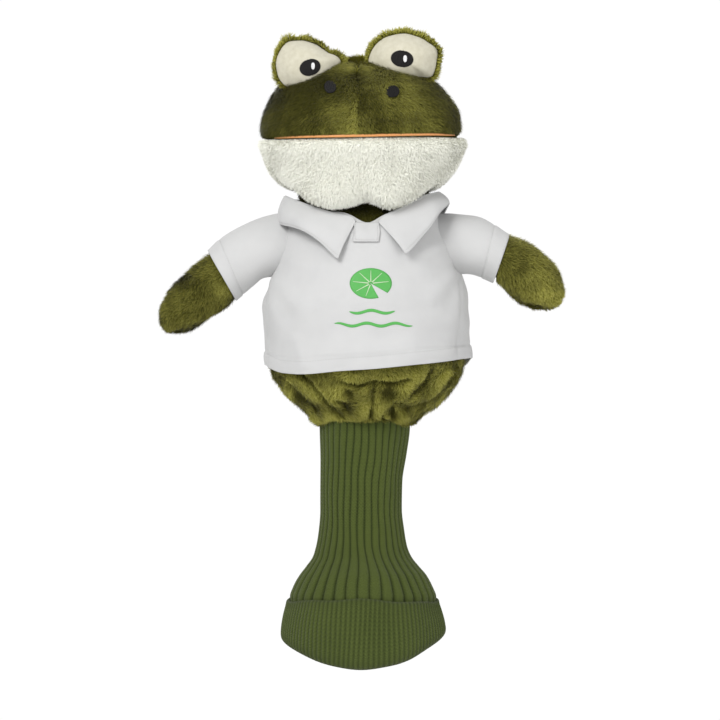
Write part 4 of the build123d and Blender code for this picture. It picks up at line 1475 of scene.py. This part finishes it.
# share of the way down, half width and half depth
CUFF_RINGS = (
    (0.00, 56.0, 45.6), (0.03, 57.2, 46.4), (0.12, 57.8, 47.2), (0.35, 59.6, 48.6), (0.62, 61.0, 50.0),
    (0.84, 61.6, 50.6), (0.93, 61.2, 50.3), (0.975, 60.3, 49.4), (1.00, 58.6, 47.9),
)


def rim_under(x):
    """The height of the arched rim below a point of the cuff."""
    return (RIM_ARC + RIM_LEVEL - np.sqrt(np.maximum(RIM_ARC**2 - (x / MM + 3) ** 2, 1))) * MM


down, half, deep = evenly(CUFF_RINGS, 57)
half, deep = half * MM, deep * MM
fine_rib = 0.5 + 0.5 * np.cos(fine * angle)
relief = FINE_DEEP * fine_rib * ease(0.0, 0.06, down)
slant = angle + 0.030 * down * np.sin(angle) + 0.006 * np.sin(7 * angle + 3 * down)
x = (half - FINE_DEEP + relief) * np.cos(slant) + CUFF_LEAN
y = (deep - FINE_DEEP + relief) * np.sin(slant)
top = (-138 + 1.2 * np.sin(3 * angle + 0.5) + 0.7 * np.sin(7 * angle)) * MM
cuff = np.stack([x, y, top + (rim_under(x) - top) * down], -1)[::-1]
cuff += grid_normals(cuff, True) * (0.6 * MM * ripple(cuff, 0.035, 411))[..., None]
inner_share = np.linspace(0, 1, 30)[:, None]
inner_at = (0, 0.1, 0.5, 1)
half = np.interp(inner_share, inner_at, (57.6, 57.4, 57.2, 53.8)) * MM
deep = np.interp(inner_share, inner_at, (46.8, 46.6, 46.4, 43.4)) * MM
x = (half - INNER_DEEP * fine_rib) * np.cos(slant[0]) + CUFF_LEAN
y = (deep - INNER_DEEP * fine_rib) * np.sin(slant[0])
rim = rim_under(x)
inner_layer = np.stack([x, y, rim + 0.6 * MM + (-142 * MM - rim) * inner_share], -1)
for name, points, dark, nodes, flat, rests in (
    ("cuff_outer_knit", cuff, 0.15, "cuff_outer_layer", (0.34, 0.046), "cuff_inner_knit"),
    ("cuff_inner_knit", inner_layer, 0.2, "cuff_inner_layer", (0.33, 0.042), "sock_knit_tube"),
):
    # painted shade of the fine ribs: the grooves darken down to the share dark
    values = {"rib": np.broadcast_to(dark + (1 - dark) * fine_rib, points.shape[:2])}
    piece = thicken(grid_piece(name, points, True, values=values), 1.6 * MM)
    piece.data.materials.append(cuff_knit)
    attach(piece, "torso")
    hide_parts(nodes)
    print(name, "rows", points.shape[0], "ribs", fine)

# %% [markdown]
# ## Floor, light and camera
# Plush and jersey read best in broad light: a bright surround, a large soft key from the upper left, a
# weaker fill and a back light that keeps the far side readable. The camera stands level with the toy's
# middle and far off, so that nothing looks stretched.

# %% Set the stage
FLOOR_LEVEL, FLOOR_HALF = -0.45, 1.3
SKY_LIGHT, SKY_SEEN = 0.60, 0.42
scene.view_settings.view_transform = "Standard"
world = bpy.data.worlds.new("studio")
scene.world = world
world.use_nodes = True
sky = world.node_tree
backdrop = sky.nodes["Background"]
seen = node(sky, "ShaderNodeLightPath")["Is Camera Ray"]
backdrop.inputs["Color"].default_value = (1, 1, 1, 1)
calc = calculator(sky)
sky.links.new(calc("ADD", calc("MULTIPLY", seen, SKY_SEEN), SKY_LIGHT), backdrop.inputs["Strength"])
print("surround", world.name)

# %% [markdown]
# The lamps are wide, so that shadows under the chin and the collar stay soft. The floor is pale paper well
# below the sock, because the cover is held up by the club it stands on.

# %% Lights, camera and floor
def area_light(name, spot, size, power, target):
    """A square lamp at spot that points at target."""
    lamp = bpy.data.lights.new(name, "AREA")
    lamp.size = size
    lamp.energy = power
    lit = bpy.data.objects.new(name, lamp)
    lit.location = spot
    lit.rotation_euler = (Vector(target) - Vector(spot)).to_track_quat("-Z", "Y").to_euler()
    scene.collection.objects.link(lit)


area_light("key", (-0.9, -1.6, 1.3), 0.9, 34, (0, 0, 0.1))
area_light("fill", (1.4, -1.3, 0.4), 1.4, 12, (0, 0, 0.05))
area_light("back", (-0.5, 1.9, 1.0), 1.2, 14, (0, 0, 0.05))
camera_data = bpy.data.cameras.new("camera")
camera_data.lens = 360
camera_data.sensor_width = 36
camera_data.clip_end = 20
camera = bpy.data.objects.new("camera", camera_data)
camera.location = (-0.003, -5.4, 0.04125)
camera.rotation_euler = (math.pi / 2, 0, 0)
scene.collection.objects.link(camera)
scene.camera = camera
floor_mesh = bpy.data.meshes.new("floor")
corners = [(x * FLOOR_HALF, y * FLOOR_HALF, FLOOR_LEVEL) for x, y in ((-1, -1), (1, -1), (1, 1), (-1, 1))]
floor_mesh.from_pydata(corners, [], [(0, 1, 2, 3)])
floor = bpy.data.objects.new("floor", floor_mesh)
scene.collection.objects.link(floor)
paper, _, paper_shader = surface("paper", 0.9)
paper_shader.inputs["Base Color"].default_value = (0.9, 0.9, 0.9, 1)
floor_mesh.materials.append(paper)
